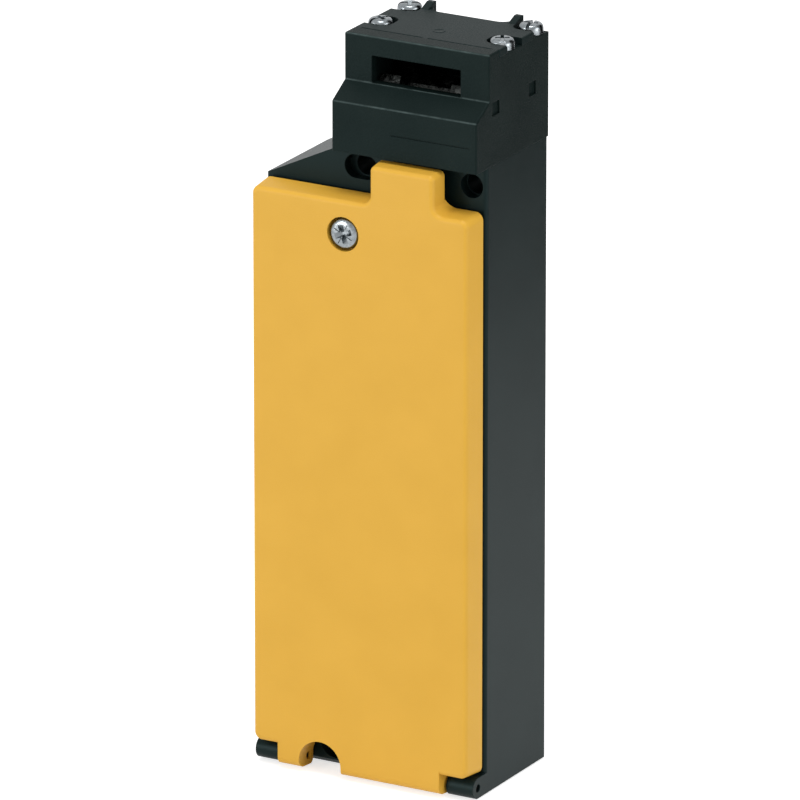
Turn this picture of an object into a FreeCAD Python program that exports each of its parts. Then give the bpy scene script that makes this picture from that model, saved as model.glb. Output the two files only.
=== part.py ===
"""Tongue interlock switch with guard locking, as a parametric FreeCAD document.

The driving sizes stand in a spreadsheet, the places worked out from them in a variable set, and
every sub-part takes its sizes from those two.  Millimetres and degrees.  X runs to the right seen
from the cover, Y runs from the cover to the mounting face, Z runs up.  The origin is the middle of
the switch's bottom.
"""
import FreeCAD, Part
import math
import os
import re

import Sketcher

Vector = FreeCAD.Vector
Rotation = FreeCAD.Rotation

# ---------------------------------------------------------------- driving sizes

SIZES = {
    # the whole switch
    "overall_width": 60, "overall_depth": 38.5,
    "move_gap": 0.3, "running_fit": 0.05, "screw_fit": 0.05, "screw_end_room": 0.5, "past": 1,
    # moulded base: a deep tray that is open to the front
    "base_height": 157.2, "base_set_back": 8.35, "shoulder_drop": 10,
    "side_wall": 3.5, "back_wall": 2.5, "floor_wall": 12, "roof_wall": 14.7,
    "base_edge": 1, "top_edge": 0.5, "tray_corner": 3, "foot_relief": 1.2,
    # cover hinge at the foot
    "barrel_radius": 2.6, "hinge_behind_cover": 2.3, "hinge_pin_radius": 1,
    "web_into_base": 1.5, "left_barrel": 6.6, "right_barrel": 7.3, "left_pin": 12.2,
    "right_pin": 19.5, "pin_inset": 0.5,
    # hinged cover
    "cover_thickness": 7.05, "cover_inset": 0.2, "cover_top": 146.8, "cover_wall": 2.4,
    "cover_draft": 4, "cover_corner": 2, "cover_edge": 1.2, "cover_rim": 5, "cover_floor": 13,
    "cover_roof_rim": 5.2, "knuckle_low": 0.3, "knuckle_nose": 2,
    "tab_from_right": 18.5, "tab_width": 18.2, "tab_below_head": 0.7, "tab_corner": 1.4,
    "tab_root": 2.2,
    "tab_back_relief": 2,
    # cover gasket
    "gasket_inset": 1.4, "gasket_width": 1.8, "gasket_groove": 1.3, "gasket_gap": 0.3,
    "gasket_low": 9.6,
    # captive cover screw
    "cover_screw_from_left": 25.65, "cover_screw_z": 138, "cover_screw_radius": 1.95,
    "cover_screw_head": 4, "cover_screw_head_height": 2.6, "cover_screw_length": 10.2,
    "cover_screw_recess": 0.3, "cover_screw_swing": 0.45, "cover_boss": 6.5,
    "base_boss": 4.5, "base_boss_length": 8.9, "keeper_radius": 3.4, "keeper_height": 0.9,
    # fixing holes through the base, for M5 screws
    "fixing_hole": 2.75, "upper_fixing_below_top": 4.7, "upper_fixing_spacing": 30,
    "upper_fixing_right": 4, "upper_recess": 3, "upper_recess_depth": 3,
    "upper_slot_left": 1.5, "upper_slot_right": 1.5,
    "lower_fixing_from_left": 19, "lower_fixing_z": 6.2, "lower_recess": 4.6, "lower_floor": 6,
    "notch_radius": 5.8, "notch_z": 2.7,
    # M20 cable entry in the floor
    "entry_from_right": 19, "entry_from_back": 16.25, "entry_radius": 9.25,
    # operating head
    "head_width": 39.2, "head_height": 27.8, "head_set_back": 3.3, "head_step": 12.5,
    "head_slope": 3.7, "head_face_back": 9.5, "head_edge": 0.45, "head_band": 4.55,
    "head_front_wall": 2.55, "head_side_wall": 6.8, "head_floor": 2.9,
    "slot_width": 24.1, "slot_height": 6.8, "slot_shift": -0.15,
    "line_height": 6, "line_width": 0.25, "line_depth": 0.15, "line_left": 3.5,
    "line_from_right": 2, "mark_size": 3.4, "mark_depth": 0.5, "mark_spread": 17.8,
    "mark_below_axle": -1.7,
    # lid of the head
    "lid_thickness": 1.8, "lid_flange": 1.2, "lid_flange_inset": 0.9, "lid_fit": 0.2,
    "seam_bridge": 1.4, "seam_bridge_shift": -0.4, "seam_end": 2,
    "pocket_width": 6.8, "pocket_depth": 7.2, "pocket_corner": 2.8, "front_pocket": 21.9,
    "screw_from_side": 3.1,
    "lid_screw_front": 21.4, "lid_screw_back": 3, "lid_screw_radius": 1.5,
    "lid_screw_head": 3, "lid_screw_head_height": 2, "lid_screw_length": 14,
    "scoop_depth": 4.1, "scoop_corner": 3.2, "scoop_drop": 4,
    "ear_width": 1.9, "ear_height": 1.2, "ear_top": 1.2,
    # screws that hold the head from inside the base
    "head_screw_spread": 13, "head_screw_front": 2.15,
    "head_screw_radius": 1.25, "head_screw_head": 2.3, "head_screw_head_height": 1.9,
    "head_screw_length": 23,
    # cam wheel on its axle
    "cam_front_gap": 0.6, "cam_back_gap": 0.45, "axle_above_base": 12.3, "axle_radius": 2,
    "axle_seat": 1.9, "disc_radius": 9, "disc_width": 5.5, "hub_radius": 4.6, "cam_side_gap": 0.4,
    "lobe_width": 5,
    "lobe_high": 9, "lobe_low": 5.5, "lobe_start": 270, "lobe_turn": 60, "lobe_dwell": 18,
    "notch_width": 5.4, "notch_depth": 4.6, "notch_angle": 128,
    # driving rod under the cam, with its bush and seals
    "rod_radius": 3, "rod_tip": 1, "rod_tip_cone": 2, "rod_bottom": 115, "rod_to_cam": 0.35,
    "waist_radius": 1.8, "waist_low": 130, "waist_high": 138.8,
    "bush_radius": 5, "bush_flange": 6.5, "bush_flange_height": 1.5, "rod_floor_gap": 0.6,
    "seal_lip": 0.9, "seal_height": 2.2, "seal_pocket": 2.4, "face_seal_inner": 7.6,
    "face_seal_width": 1.8,
    "face_seal_height": 1.1,
    # solenoid
    "coil_side_gap": 0.75, "frame_width": 21.5, "frame_low": 62, "frame_high": 108, "frame_plate": 2,
    "frame_front": 9, "frame_back": 9, "frame_foot": 8, "bobbin_hole": 4.85, "bobbin_wall": 1,
    "bobbin_flange": 8.9, "bobbin_flange_height": 1.5, "coil_radius": 8.6, "core_height": 11.5,
    "core_rivet": 3, "core_rivet_lip": 1, "core_rivet_head": 1.2, "armature_radius": 4.5,
    "armature_bottom": 80,
    "armature_top": 127, "armature_travel": 4, "clevis_slot": 3.6, "clevis_bottom": 117,
    "clip_radius": 6.8, "clip_height": 1.1, "clip_below_clevis": 1.6, "clip_mouth": 6.2,
    "groove_radius": 3.9,
    "spring_steps": 12, "armature_wire": 0.5, "armature_coil": 5.7, "armature_turns": 3,
    "frame_screw_spread": 12, "frame_screw_z": 58, "small_screw_radius": 1.5,
    "small_screw_head": 2.6, "small_screw_head_height": 2.1, "small_screw_bite": 1.9,
    "seat_below_screw": 3,
    # locking lever between the solenoid and the rod
    "pivot_from_coil": 16, "pivot_z": 124, "lever_thickness": 3, "lever_rise": 12,
    "lever_arm_half": 2.4, "lever_eye": 2.8,
    "nose_half": 1.5, "nose_gap": 0.4, "lever_hub": 4.2, "lever_pin_radius": 1.5,
    "lever_pin_head": 2.6, "lever_pin_head_height": 1.8, "lever_pin_in_wall": 9, "pivot_boss": 4.2,
    "link_pin_radius": 1, "link_pin_inset": 0.3, "link_slot_half": 1.3, "link_slot_shift": 0.6,
    # contact block
    "block_left_gap": 1.75, "block_right_gap": 3, "block_depth": 22.75, "block_low": 62,
    "block_high": 113,
    "block_foot": 8, "block_foot_depth": 6, "block_screw_spread": 18, "block_screw_z": 58,
    "carrier_width": 5, "carrier_depth": 5, "carrier_low": 68, "channel_gap": 0.4,
    "channel_low": 64, "level_low": 77, "level_pitch": 13, "strip_width": 4.2,
    "strip_thickness": 1.2, "strip_height": 6, "strip_from_wall": 0.2, "contact_radius": 1.4,
    "contact_height": 0.8, "bridge_length": 12.6, "bridge_depth": 3.6, "bridge_thickness": 1,
    "bridge_gap": 0.4, "bay_width": 6.6, "bay_height": 9.4, "bay_depth": 5.1, "window_height": 8,
    "window_play": 0.8,
    "terminal_screw_length": 6.5, "terminal_lift": 0.4, "terminal_screw_head": 2.5,
    "terminal_screw_head_height": 1.9,
    "carrier_wire": 0.4, "carrier_coil": 1.9, "carrier_turns": 4,
    # terminal block of the coil
    "coil_block_width": 20, "coil_block_height": 20, "coil_block_depth": 12, "coil_block_z": 38,
    "pole_pitch": 6.4, "clamp_size": 4.2, "clamp_length": 8, "clamp_set_back": 3,
    "pole_screw": 1.4, "pole_screw_head": 1.9, "pole_screw_head_height": 1.2,
    "pole_screw_length": 2, "pole_screw_lift": 0.6, "pole_screw_play": 0.2,
    "wire_hole": 1.5, "coil_block_screw": 1.1, "coil_screw_head": 1.2,
    "coil_screw_head_height": 1.6,
}

# ---------------------------------------------------------------- places worked out from them

PLACES = {
    "right": "overall_width/2",
    "left": "-overall_width/2",
    "back": "overall_depth/2",
    "front": "-overall_depth/2",
    "base_front": "front + base_set_back",
    "tray_left": "left + side_wall",
    "tray_right": "right - side_wall",
    "tray_back": "back - back_wall",
    "tray_top": "base_height - roof_wall",
    # cover and hinge
    "cover_back": "front + cover_thickness",
    "cover_side": "right - cover_inset",
    "hinge_y": "cover_back - hinge_behind_cover",
    "hinge_z": "barrel_radius",
    "cover_ends": "hinge_z + barrel_radius + move_gap",
    "knuckle_left": "left + left_barrel + move_gap",
    "knuckle_right": "right - right_barrel - move_gap",
    "tab_middle": "right - tab_from_right",
    "tab_left": "tab_middle - tab_width/2",
    "tab_right": "tab_middle + tab_width/2",
    "tab_top": "base_height - tab_below_head",
    "cover_pocket_front": "front + cover_wall",
    "gasket_side": "cover_side - gasket_inset",
    "gasket_top": "cover_top - gasket_inset",
    "gasket_bottom_face": "cover_back - gasket_groove",
    "gasket_seal_face": "base_front - gasket_gap",
    "cover_screw_x": "left + cover_screw_from_left",
    "cover_screw_seat": "front + cover_screw_head_height",
    "cover_screw_tip": "cover_screw_seat + cover_screw_length",
    "base_boss_end": "base_front + base_boss_length",
    # fixing holes
    "lower_fixing_x": "left + lower_fixing_from_left",
    "entry_x": "right - entry_from_right",
    "entry_y": "back - entry_from_back",
    "upper_fixing_z": "base_height - upper_fixing_below_top",
    "upper_right_x": "right - upper_fixing_right",
    "upper_left_x": "upper_right_x - upper_fixing_spacing",
    # head
    "head_left": "right - head_width",
    "head_middle": "right - head_width/2",
    "head_front": "front + head_set_back",
    "head_face": "front + head_face_back",
    "head_top": "base_height + head_height",
    "step_low": "base_height + head_step",
    "step_high": "step_low + head_slope",
    "lid_seam": "head_face + head_band",
    "ledge": "head_top - lid_thickness",
    "flange_low": "ledge - lid_flange",
    "chamber_left": "head_left + head_side_wall",
    "chamber_right": "right - head_side_wall",
    "chamber_front": "head_face + head_front_wall",
    "cam_y": "chamber_front + cam_front_gap + disc_radius",
    "chamber_back": "cam_y + disc_radius + cam_back_gap",
    "chamber_floor": "base_height + head_floor",
    "slot_left": "head_middle + slot_shift - slot_width/2",
    "slot_right": "slot_left + slot_width",
    "slot_top": "step_high + slot_height",
    "lid_screw_front_y": "front + lid_screw_front",
    "lid_screw_back_y": "back - lid_screw_back",
    "front_pocket_y": "front + front_pocket - pocket_depth/2",
    "back_pocket_y": "back - pocket_depth",
    "lid_pocket_left": "head_left + pocket_width",
    "lid_pocket_right": "right - pocket_width",
    "scoop_front": "back - scoop_depth",
    "scoop_left": "head_left + pocket_width + ear_width",
    "scoop_right": "right - pocket_width - ear_width",
    "head_screw_front_y": "base_front + head_screw_front",
    "head_screw_back_y": "tray_back - head_screw_head - move_gap",
    # cam, rod and bush
    "cam_z": "base_height + axle_above_base",
    "cam_left": "chamber_left + cam_side_gap",
    "cam_right": "chamber_right - cam_side_gap",
    "rod_top": "cam_z - lobe_high - rod_to_cam",
    "rod_shoulder": "rod_top - rod_tip - rod_tip_cone",
    "rod_travel": "lobe_high - lobe_low",
    # solenoid
    "coil_x": "tray_left + coil_side_gap + frame_width/2",
    "frame_left": "coil_x - frame_width/2",
    "frame_right": "coil_x + frame_width/2",
    "frame_front_y": "cam_y - frame_front",
    "frame_seat": "cam_y + frame_back",
    "frame_rear": "frame_seat + frame_plate",
    "frame_under": "frame_low + frame_plate",
    "frame_over": "frame_high - frame_plate",
    "core_top": "frame_under + core_height",
    "clip_z": "clevis_bottom - clip_below_clevis",
    # lever
    "pivot_x": "coil_x + pivot_from_coil",
    "lever_front": "cam_y - lever_thickness/2",
    "lever_back": "cam_y + lever_thickness/2",
    "nose_tip": "head_middle - waist_radius - nose_gap",
    "nose_z": "pivot_z + lever_rise",
    # contact block
    "block_left": "frame_right + block_left_gap",
    "block_right": "tray_right - block_right_gap",
    "block_front": "tray_back - block_depth",
    "carrier_front": "cam_y - carrier_depth/2",
    "carrier_back": "cam_y + carrier_depth/2",
    "strip_y": "block_front + bay_depth",
    "leg_reach": "carrier_width/2 + move_gap",
    "coil_block_front": "tray_back - coil_block_depth",
    "clamp_front": "coil_block_front + clamp_set_back",
}

doc = FreeCAD.newDocument("tongue_interlock_switch")


def make_sheet():
    """Put the driving sizes in a spreadsheet, one row each, with the name beside the number."""
    sheet = doc.addObject("Spreadsheet::Sheet", "sizes")
    for row, (name, number) in enumerate(SIZES.items(), start=1):
        sheet.set(f"A{row}", name)
        sheet.set(f"B{row}", str(number))
        sheet.setAlias(f"B{row}", name)
    doc.recompute()
    return sheet


def tied(text):
    """Point every name in an expression at the spreadsheet or at the variable set."""
    def point(match):
        name = match.group(0)
        if name in SIZES:
            return "sizes." + name
        if name in PLACES:
            return "places." + name
        return name
    return re.sub(r"[a-z_]+", point, text)


def make_places():
    """Hold each worked-out place as a property bound to the sizes."""
    found = doc.addObject("App::VarSet", "places")
    for name in PLACES:
        found.addProperty("App::PropertyFloat", name, "Places")
    for name, text in PLACES.items():
        found.setExpression(name, tied(text).replace("places.", ""))
    doc.recompute()
    return found


sizes = make_sheet()
places = make_places()


def number(name):
    """The present value of a size or place."""
    return float(sizes.get(name) if name in SIZES else getattr(places, name))


# ---------------------------------------------------------------- drawing helpers

TURNED = {
    "x": Rotation(Vector(0, 1, 0), 90),
    "y": Rotation(Vector(1, 0, 0), -90),
    "z": Rotation(),
}


def bind(thing, prop, text):
    thing.setExpression(prop, tied(str(text)))


def block(name, x, y, z):
    """A box between two places on each axis."""
    box = doc.addObject("Part::Box", name)
    for prop, axis, (low, high) in (("Length", "x", x), ("Width", "y", y), ("Height", "z", z)):
        bind(box, prop, f"({high}) - ({low})")
        bind(box, f"Placement.Base.{axis}", low)
    return box


def set_along(thing, axis, centre, low):
    """Stand a round primitive on a place, with its length along an axis."""
    thing.Placement = FreeCAD.Placement(Vector(), TURNED[axis])
    others = [name for name in "xyz" if name != axis]
    bind(thing, f"Placement.Base.{axis}", low)
    for name, place in zip(others, centre):
        bind(thing, f"Placement.Base.{name}", place)


def bar(name, axis, centre, radius, ends):
    """A round bar along an axis; centre gives its place on the other two axes."""
    low, high = ends
    shape = doc.addObject("Part::Cylinder", name)
    bind(shape, "Radius", radius)
    bind(shape, "Height", f"({high}) - ({low})")
    set_along(shape, axis, centre, low)
    return shape


def cone(name, axis, centre, radii, ends):
    """A round taper along an axis, from its low end to its high end."""
    low, high = ends
    shape = doc.addObject("Part::Cone", name)
    bind(shape, "Radius1", radii[0])
    bind(shape, "Radius2", radii[1])
    bind(shape, "Height", f"({high}) - ({low})")
    set_along(shape, axis, centre, low)
    return shape


def ball(name, centre, radius):
    shape = doc.addObject("Part::Sphere", name)
    bind(shape, "Radius", radius)
    for axis, place in zip("xyz", centre):
        bind(shape, f"Placement.Base.{axis}", place)
    return shape


def joined(name, *shapes):
    fuse = doc.addObject("Part::MultiFuse", name)
    fuse.Shapes = list(shapes)
    fuse.Refine = True
    return fuse


def carved(name, base, *tools):
    """The base with every tool taken out of it."""
    tool = tools[0] if len(tools) == 1 else joined(name + "_tools", *tools)
    cut = doc.addObject("Part::Cut", name)
    cut.Base = base
    cut.Tool = tool
    cut.Refine = True
    return cut


def grouped(name, *shapes):
    """Separate like pieces kept together in one node."""
    group = doc.addObject("Part::Compound", name)
    group.Links = list(shapes)
    return group


def rounded(name, base, radius, chosen):
    """The base with a radius on each edge that the test picks."""
    doc.recompute()
    size = number(radius)
    fillet = doc.addObject("Part::Fillet", name)
    fillet.Base = base
    fillet.Edges = [
        (index, size, size)
        for index, edge in enumerate(base.Shape.Edges, start=1)
        if chosen(edge)
    ]
    return fillet


def runs_along(edge, axis):
    """True for a straight edge along an axis."""
    box = edge.BoundBox
    lengths = {"x": box.XLength, "y": box.YLength, "z": box.ZLength}
    return all(length < 1e-4 for name, length in lengths.items() if name != axis)


EDGE_TOUCH = 0.02


def near(value, *targets):
    return any(abs(value - target) < EDGE_TOUCH for target in targets)


PLANES = {"xz": "XZ_Plane", "yz": "YZ_Plane", "xy": "XY_Plane"}


def profile(body, name, plane, offset, points):
    """A closed outline of straight edges; each corner is held by two bound distances."""
    sketch = body.newObject("Sketcher::SketchObject", name)
    origin_plane = [item for item in body.Origin.OriginFeatures if item.Role == PLANES[plane]][0]
    sketch.AttachmentSupport = [(origin_plane, "")]
    sketch.MapMode = "FlatFace"
    bind(sketch, "AttachmentOffset.Base.z", offset)
    count = len(points)
    ring = [
        Vector(math.cos(math.tau*i/count), math.sin(math.tau*i/count), 0)*20
        for i in range(count)
    ]
    for i in range(count):
        sketch.addGeometry(Part.LineSegment(ring[i], ring[(i + 1) % count]), False)
    for i in range(count):
        sketch.addConstraint(Sketcher.Constraint("Coincident", i, 2, (i + 1) % count, 1))
    for i, corner in enumerate(points):
        for kind, start, place in zip(("DistanceX", "DistanceY"), ring[i], corner):
            index = sketch.addConstraint(Sketcher.Constraint(kind, -1, 1, i, 1, start))
            bind(sketch, f"Constraints[{index}]", place)
    return sketch


def pad(body, name, sketch, length, draft=None):
    """Push an outline out along its own normal."""
    feature = body.newObject("PartDesign::Pad", name)
    feature.Profile = sketch
    bind(feature, "Length", length)
    if draft:
        bind(feature, "TaperAngle", draft)
    doc.recompute()
    return feature


def edge_round(body, name, base, radius, chosen):
    """A PartDesign fillet on the edges that the test picks."""
    feature = body.newObject("PartDesign::Fillet", name)
    names = [
        f"Edge{index}"
        for index, edge in enumerate(base.Shape.Edges, start=1)
        if chosen(edge)
    ]
    feature.Base = (base, names)
    bind(feature, "Radius", radius)
    doc.recompute()
    return feature


def screw(name, axis, centre, seat, side, radius, head, head_height, length):
    """A cheese-head screw: the head stands on side -1 or +1 of the seat, the shank on the other."""
    if side < 0:
        head_ends = (f"{seat} - {head_height}", seat)
        shank_ends = (seat, f"{seat} + {length}")
    else:
        head_ends = (seat, f"{seat} + {head_height}")
        shank_ends = (f"{seat} - {length}", seat)
    cap = bar(name + "_head", axis, centre, head, head_ends)
    shank = bar(name + "_shank", axis, centre, radius, shank_ends)
    return joined(name, cap, shank)


def coil_spring(name, centre, mean, wire, ends, turns):
    """A compression spring that stands on Z between two places, its wire drawn six-sided."""
    low, high = ends
    radius, thickness = number(mean), number(wire)
    steps = round(number(turns)*number("spring_steps"))
    rise = (number(high) - number(low) - 2*thickness)/steps
    corners = [math.tau*side/6 for side in range(6)]
    sections = []
    for step in range(steps + 1):
        angle = math.tau*step/number("spring_steps")
        out = Vector(math.cos(angle), math.sin(angle), 0)
        middle = out*radius + Vector(0, 0, thickness + rise*step)
        ring = [
            middle + out*thickness*math.cos(corner) + Vector(0, 0, thickness*math.sin(corner))
            for corner in corners
        ]
        sections.append(Part.makePolygon(ring + ring[:1]))
    spring = doc.addObject("Part::Feature", name)
    spring.Shape = Part.makeLoft(sections, True, True)
    bind(spring, "Placement.Base.x", centre[0])
    bind(spring, "Placement.Base.y", centre[1])
    bind(spring, "Placement.Base.z", low)
    return spring


# ---------------------------------------------------------------- moulded base

def housing_base():
    """The glass-filled base: a tray with a sloping left shoulder, screw bosses and hinge barrels."""
    body = doc.addObject("PartDesign::Body", "base_body")
    outline = profile(body, "base_outline", "xz", "-back", [
        ("left", "0"),
        ("right", "0"),
        ("right", "base_height"),
        ("head_left", "base_height"),
        ("left", "base_height - shoulder_drop"),
    ])
    block_pad = pad(body, "base_pad", outline, "back - base_front")
    edge_round(body, "base_rounding", block_pad, "base_edge", lambda edge: runs_along(edge, "z"))

    tray = block("tray_space", ("tray_left", "tray_right"), ("base_front - past", "tray_back"),
                 ("floor_wall", "tray_top"))
    tray = rounded("tray_rounded", tray, "tray_corner", lambda edge: runs_along(edge, "y"))
    shell = carved("base_shell", body, tray)

    additions = [
        bar("cover_screw_boss", "y", ("cover_screw_x", "cover_screw_z"), "base_boss",
            ("base_front", "base_boss_end")),
        block("cover_screw_rib", ("cover_screw_x - base_boss", "cover_screw_x + base_boss"),
              ("base_front", "base_boss_end"), ("cover_screw_z", "tray_top + past")),
        bar("pivot_boss_bar", "y", ("pivot_x", "pivot_z"), "pivot_boss",
            ("lever_back + move_gap", "tray_back + past")),
        block("solenoid_seat", ("frame_left + frame_plate", "frame_right - frame_plate"),
              ("frame_rear", "tray_back + past"), ("frame_screw_z - seat_below_screw", "frame_high")),
    ]
    for side, ends in (("left", ("left", "left + left_barrel")),
                       ("right", ("right - right_barrel", "right"))):
        additions.append(bar(side + "_barrel", "x", ("hinge_y", "hinge_z"), "barrel_radius", ends))
        additions.append(block(side + "_barrel_web", ends, ("hinge_y", "base_front + web_into_base"),
                               ("0", "2*barrel_radius")))
    solid = joined("base_with_bosses", shell, *additions)

    bores = [
        bar("upper_left_hole", "y", ("upper_left_x", "upper_fixing_z"), "fixing_hole",
            ("base_front - past", "back + past")),
        bar("upper_right_hole", "y", ("upper_right_x", "upper_fixing_z"), "fixing_hole",
            ("base_front - past", "back + past")),
        bar("upper_right_recess", "y", ("upper_right_x", "upper_fixing_z"), "upper_recess",
            ("base_front - past", "base_front + upper_recess_depth")),
        block("upper_slot_middle", ("upper_left_x - upper_slot_left", "upper_left_x + upper_slot_right"),
              ("base_front - past", "base_front + upper_recess_depth"),
              ("upper_fixing_z - upper_recess", "upper_fixing_z + upper_recess")),
        bar("lower_hole", "y", ("lower_fixing_x", "lower_fixing_z"), "fixing_hole",
            ("base_front - past", "back + past")),
        bar("lower_counterbore", "y", ("lower_fixing_x", "lower_fixing_z"), "lower_recess",
            ("base_front - past", "back - lower_floor")),
        bar("cable_entry", "z", ("entry_x", "entry_y"), "entry_radius", ("-1", "floor_wall + past")),
        bar("cover_screw_bore", "y", ("cover_screw_x", "cover_screw_z"),
            "cover_screw_radius + cover_screw_swing",
            ("base_front - past", "cover_screw_tip + screw_end_room")),
        bar("bush_bore", "z", ("head_middle", "cam_y"), "bush_radius",
            ("tray_top - past", "base_height + past")),
        bar("lever_pin_bore", "y", ("pivot_x", "pivot_z"), "lever_pin_radius",
            ("lever_front", "lever_back + lever_pin_in_wall")),
        bar("left_pin_bore", "x", ("hinge_y", "hinge_z"), "hinge_pin_radius",
            ("left - past", "left + left_barrel + past")),
        bar("right_pin_bore", "x", ("hinge_y", "hinge_z"), "hinge_pin_radius",
            ("right - right_barrel - past", "right + past")),
        carved("face_seal_groove",
               bar("face_seal_groove_out", "z", ("head_middle", "cam_y"),
                   "face_seal_inner + face_seal_width",
                   ("base_height - face_seal_height", "base_height + past")),
               bar("face_seal_groove_in", "z", ("head_middle", "cam_y"), "face_seal_inner",
                   ("base_height - face_seal_height", "base_height + past"))),
    ]
    for side, place in (("left", "upper_left_x - upper_slot_left"),
                        ("right", "upper_left_x + upper_slot_right")):
        bores.append(bar(f"upper_slot_{side}", "y", (place, "upper_fixing_z"), "upper_recess",
                         ("base_front - past", "base_front + upper_recess_depth")))
    for x_name, x_place in HEAD_SCREW_X.items():
        for y_name in ("front", "back"):
            bores.append(bar(f"head_screw_hole_{x_name}_{y_name}", "z",
                             (x_place, f"head_screw_{y_name}_y"),
                             "head_screw_radius + screw_fit", ("tray_top - past", "base_height + past")))
    for side, sign in SIDES:
        bores.append(bar(f"frame_screw_hole_{side}", "y",
                         (f"coil_x + {sign}*frame_screw_spread/2", "frame_screw_z"),
                         "small_screw_radius", ("frame_rear - past", "tray_back + small_screw_bite")))
        bores.append(bar(f"block_screw_hole_{side}", "y",
                         (f"head_middle + {sign}*block_screw_spread/2", "block_screw_z"),
                         "small_screw_radius", ("tray_back - past", "tray_back + small_screw_bite")))
        bores.append(bar(f"coil_block_screw_hole_{side}", "y",
                         (f"coil_x + {sign}*pole_pitch/2", "coil_block_z"),
                         "coil_block_screw", ("tray_back - past", "tray_back + small_screw_bite")))
    bored = carved("base_bored", solid, *bores)

    relief = doc.addObject("Part::Wedge", "foot_relief_wedge")
    relief.Placement = FreeCAD.Placement(Vector(), Rotation())
    for prop, text in (("Xmin", "left + left_barrel"), ("Xmax", "right - right_barrel"),
                       ("X2min", "left + left_barrel"), ("X2max", "right - right_barrel"),
                       ("Ymin", "base_front"), ("Ymax", "base_front + foot_relief"),
                       ("Zmin", "0"), ("Zmax", "foot_relief"), ("Z2min", "0"), ("Z2max", "0")):
        bind(relief, prop, text)
    return carved("housing_base", bored, relief)


SIDES = (("left", -1), ("right", 1))
HEAD_SCREW_X = {
    "left": "head_middle - head_screw_spread/2",
    "right": "head_middle + head_screw_spread/2",
}


# ---------------------------------------------------------------- hinged cover

def front_cover():
    """The moulded cover: drafted sides, a tab under the head, a notch and two hinge knuckles."""
    body = doc.addObject("PartDesign::Body", "cover_body")
    outline = profile(body, "cover_outline", "xz", "-cover_back", [
        ("-cover_side", "cover_ends"),
        ("knuckle_left", "cover_ends"),
        ("knuckle_left", "knuckle_low"),
        ("knuckle_right", "knuckle_low"),
        ("knuckle_right", "cover_ends"),
        ("cover_side", "cover_ends"),
        ("cover_side", "cover_top"),
        ("tab_right", "cover_top"),
        ("tab_right", "tab_top"),
        ("tab_left", "tab_top"),
        ("tab_left", "cover_top"),
        ("-cover_side", "cover_top"),
    ])
    plate = pad(body, "cover_pad", outline, "cover_thickness", draft="-cover_draft")

    def corner(x_places, z_place):
        targets = [number(name) if name[0] != "-" else -number(name[1:]) for name in x_places]
        height = number(z_place)

        def chosen(edge):
            heel = max(edge.Vertexes, key=lambda vertex: vertex.Point.y).Point
            across = edge.BoundBox.YLength > 1
            return across and near(heel.x, *targets) and near(heel.z, height)
        return chosen

    plate = edge_round(body, "cover_top_corners", plate, "cover_corner",
                       corner(("-cover_side", "cover_side"), "cover_top"))
    plate = edge_round(body, "cover_low_corners", plate, "cover_corner",
                       corner(("-cover_side", "cover_side"), "cover_ends"))
    plate = edge_round(body, "tab_corners", plate, "tab_corner",
                       corner(("tab_left", "tab_right"), "tab_top"))
    plate = edge_round(body, "tab_roots", plate, "tab_root",
                       corner(("tab_left", "tab_right"), "cover_top"))
    face = number("front")
    low = number("knuckle_low")
    plate = edge_round(body, "cover_front_edge", plate, "cover_edge",
                       lambda edge: edge.BoundBox.YLength < 1e-3 and near(edge.BoundBox.YMin, face)
                       and edge.BoundBox.ZMin > low + 1)
    edge_round(body, "knuckle_nose_round", plate, "knuckle_nose",
               lambda edge: runs_along(edge, "x") and edge.BoundBox.ZMax < low + 1)

    pocket = block("cover_pocket", ("-cover_side + cover_rim", "cover_side - cover_rim"),
                   ("cover_pocket_front", "cover_back + past"),
                   ("cover_floor", "cover_top - cover_roof_rim"))
    pocket = rounded("cover_pocket_rounded", pocket, "tray_corner",
                     lambda edge: runs_along(edge, "y"))
    screw_pillar = bar("cover_screw_pillar", "y", ("cover_screw_x", "cover_screw_z"), "cover_boss",
                       ("cover_pocket_front - past", "cover_back + 2*past"))
    pocket = carved("cover_pocket_around_pillar", pocket, screw_pillar)
    groove = gasket_ring("cover_groove", "0", "cover_back + past")
    return carved(
        "front_cover", body, pocket, groove,
        bar("cover_notch", "y", ("lower_fixing_x", "notch_z"), "notch_radius",
            ("front - past", "cover_back + past")),
        bar("cover_screw_recess", "y", ("cover_screw_x", "cover_screw_z"),
            "cover_screw_head + cover_screw_recess", ("front - past", "cover_screw_seat")),
        bar("cover_screw_hole", "y", ("cover_screw_x", "cover_screw_z"),
            "cover_screw_radius + screw_fit", ("front", "cover_back + past")),
        bar("keeper_recess", "y", ("cover_screw_x", "cover_screw_z"), "keeper_radius",
            ("cover_back - keeper_height", "cover_back + past")),
        block("tab_back", ("tab_left - past", "tab_right + past"),
              ("cover_back - tab_back_relief", "cover_back + past"),
              ("cover_top + tab_root", "base_height")),
        bar("knuckle_bore", "x", ("hinge_y", "hinge_z"), "hinge_pin_radius + running_fit",
            ("knuckle_left - past", "knuckle_right + past")),
    )


def gasket_ring(name, play, back_face):
    """The rectangular ring that the gasket fills, between the groove's floor and a given face."""
    outer = block(name + "_outer",
                  (f"-gasket_side + {play}", f"gasket_side - {play}"),
                  ("gasket_bottom_face", back_face),
                  (f"gasket_low + {play}", f"gasket_top - {play}"))
    outer = rounded(name + "_outer_round", outer, "tray_corner", lambda edge: runs_along(edge, "y"))
    inner = block(name + "_inner",
                  (f"-gasket_side + gasket_width - {play}", f"gasket_side - gasket_width + {play}"),
                  ("gasket_bottom_face - past", f"{back_face} + past"),
                  (f"gasket_low + gasket_width - {play}", f"gasket_top - gasket_width + {play}"))
    inner = rounded(name + "_inner_round", inner, "cover_corner", lambda edge: runs_along(edge, "y"))
    return carved(name, outer, inner)


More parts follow.
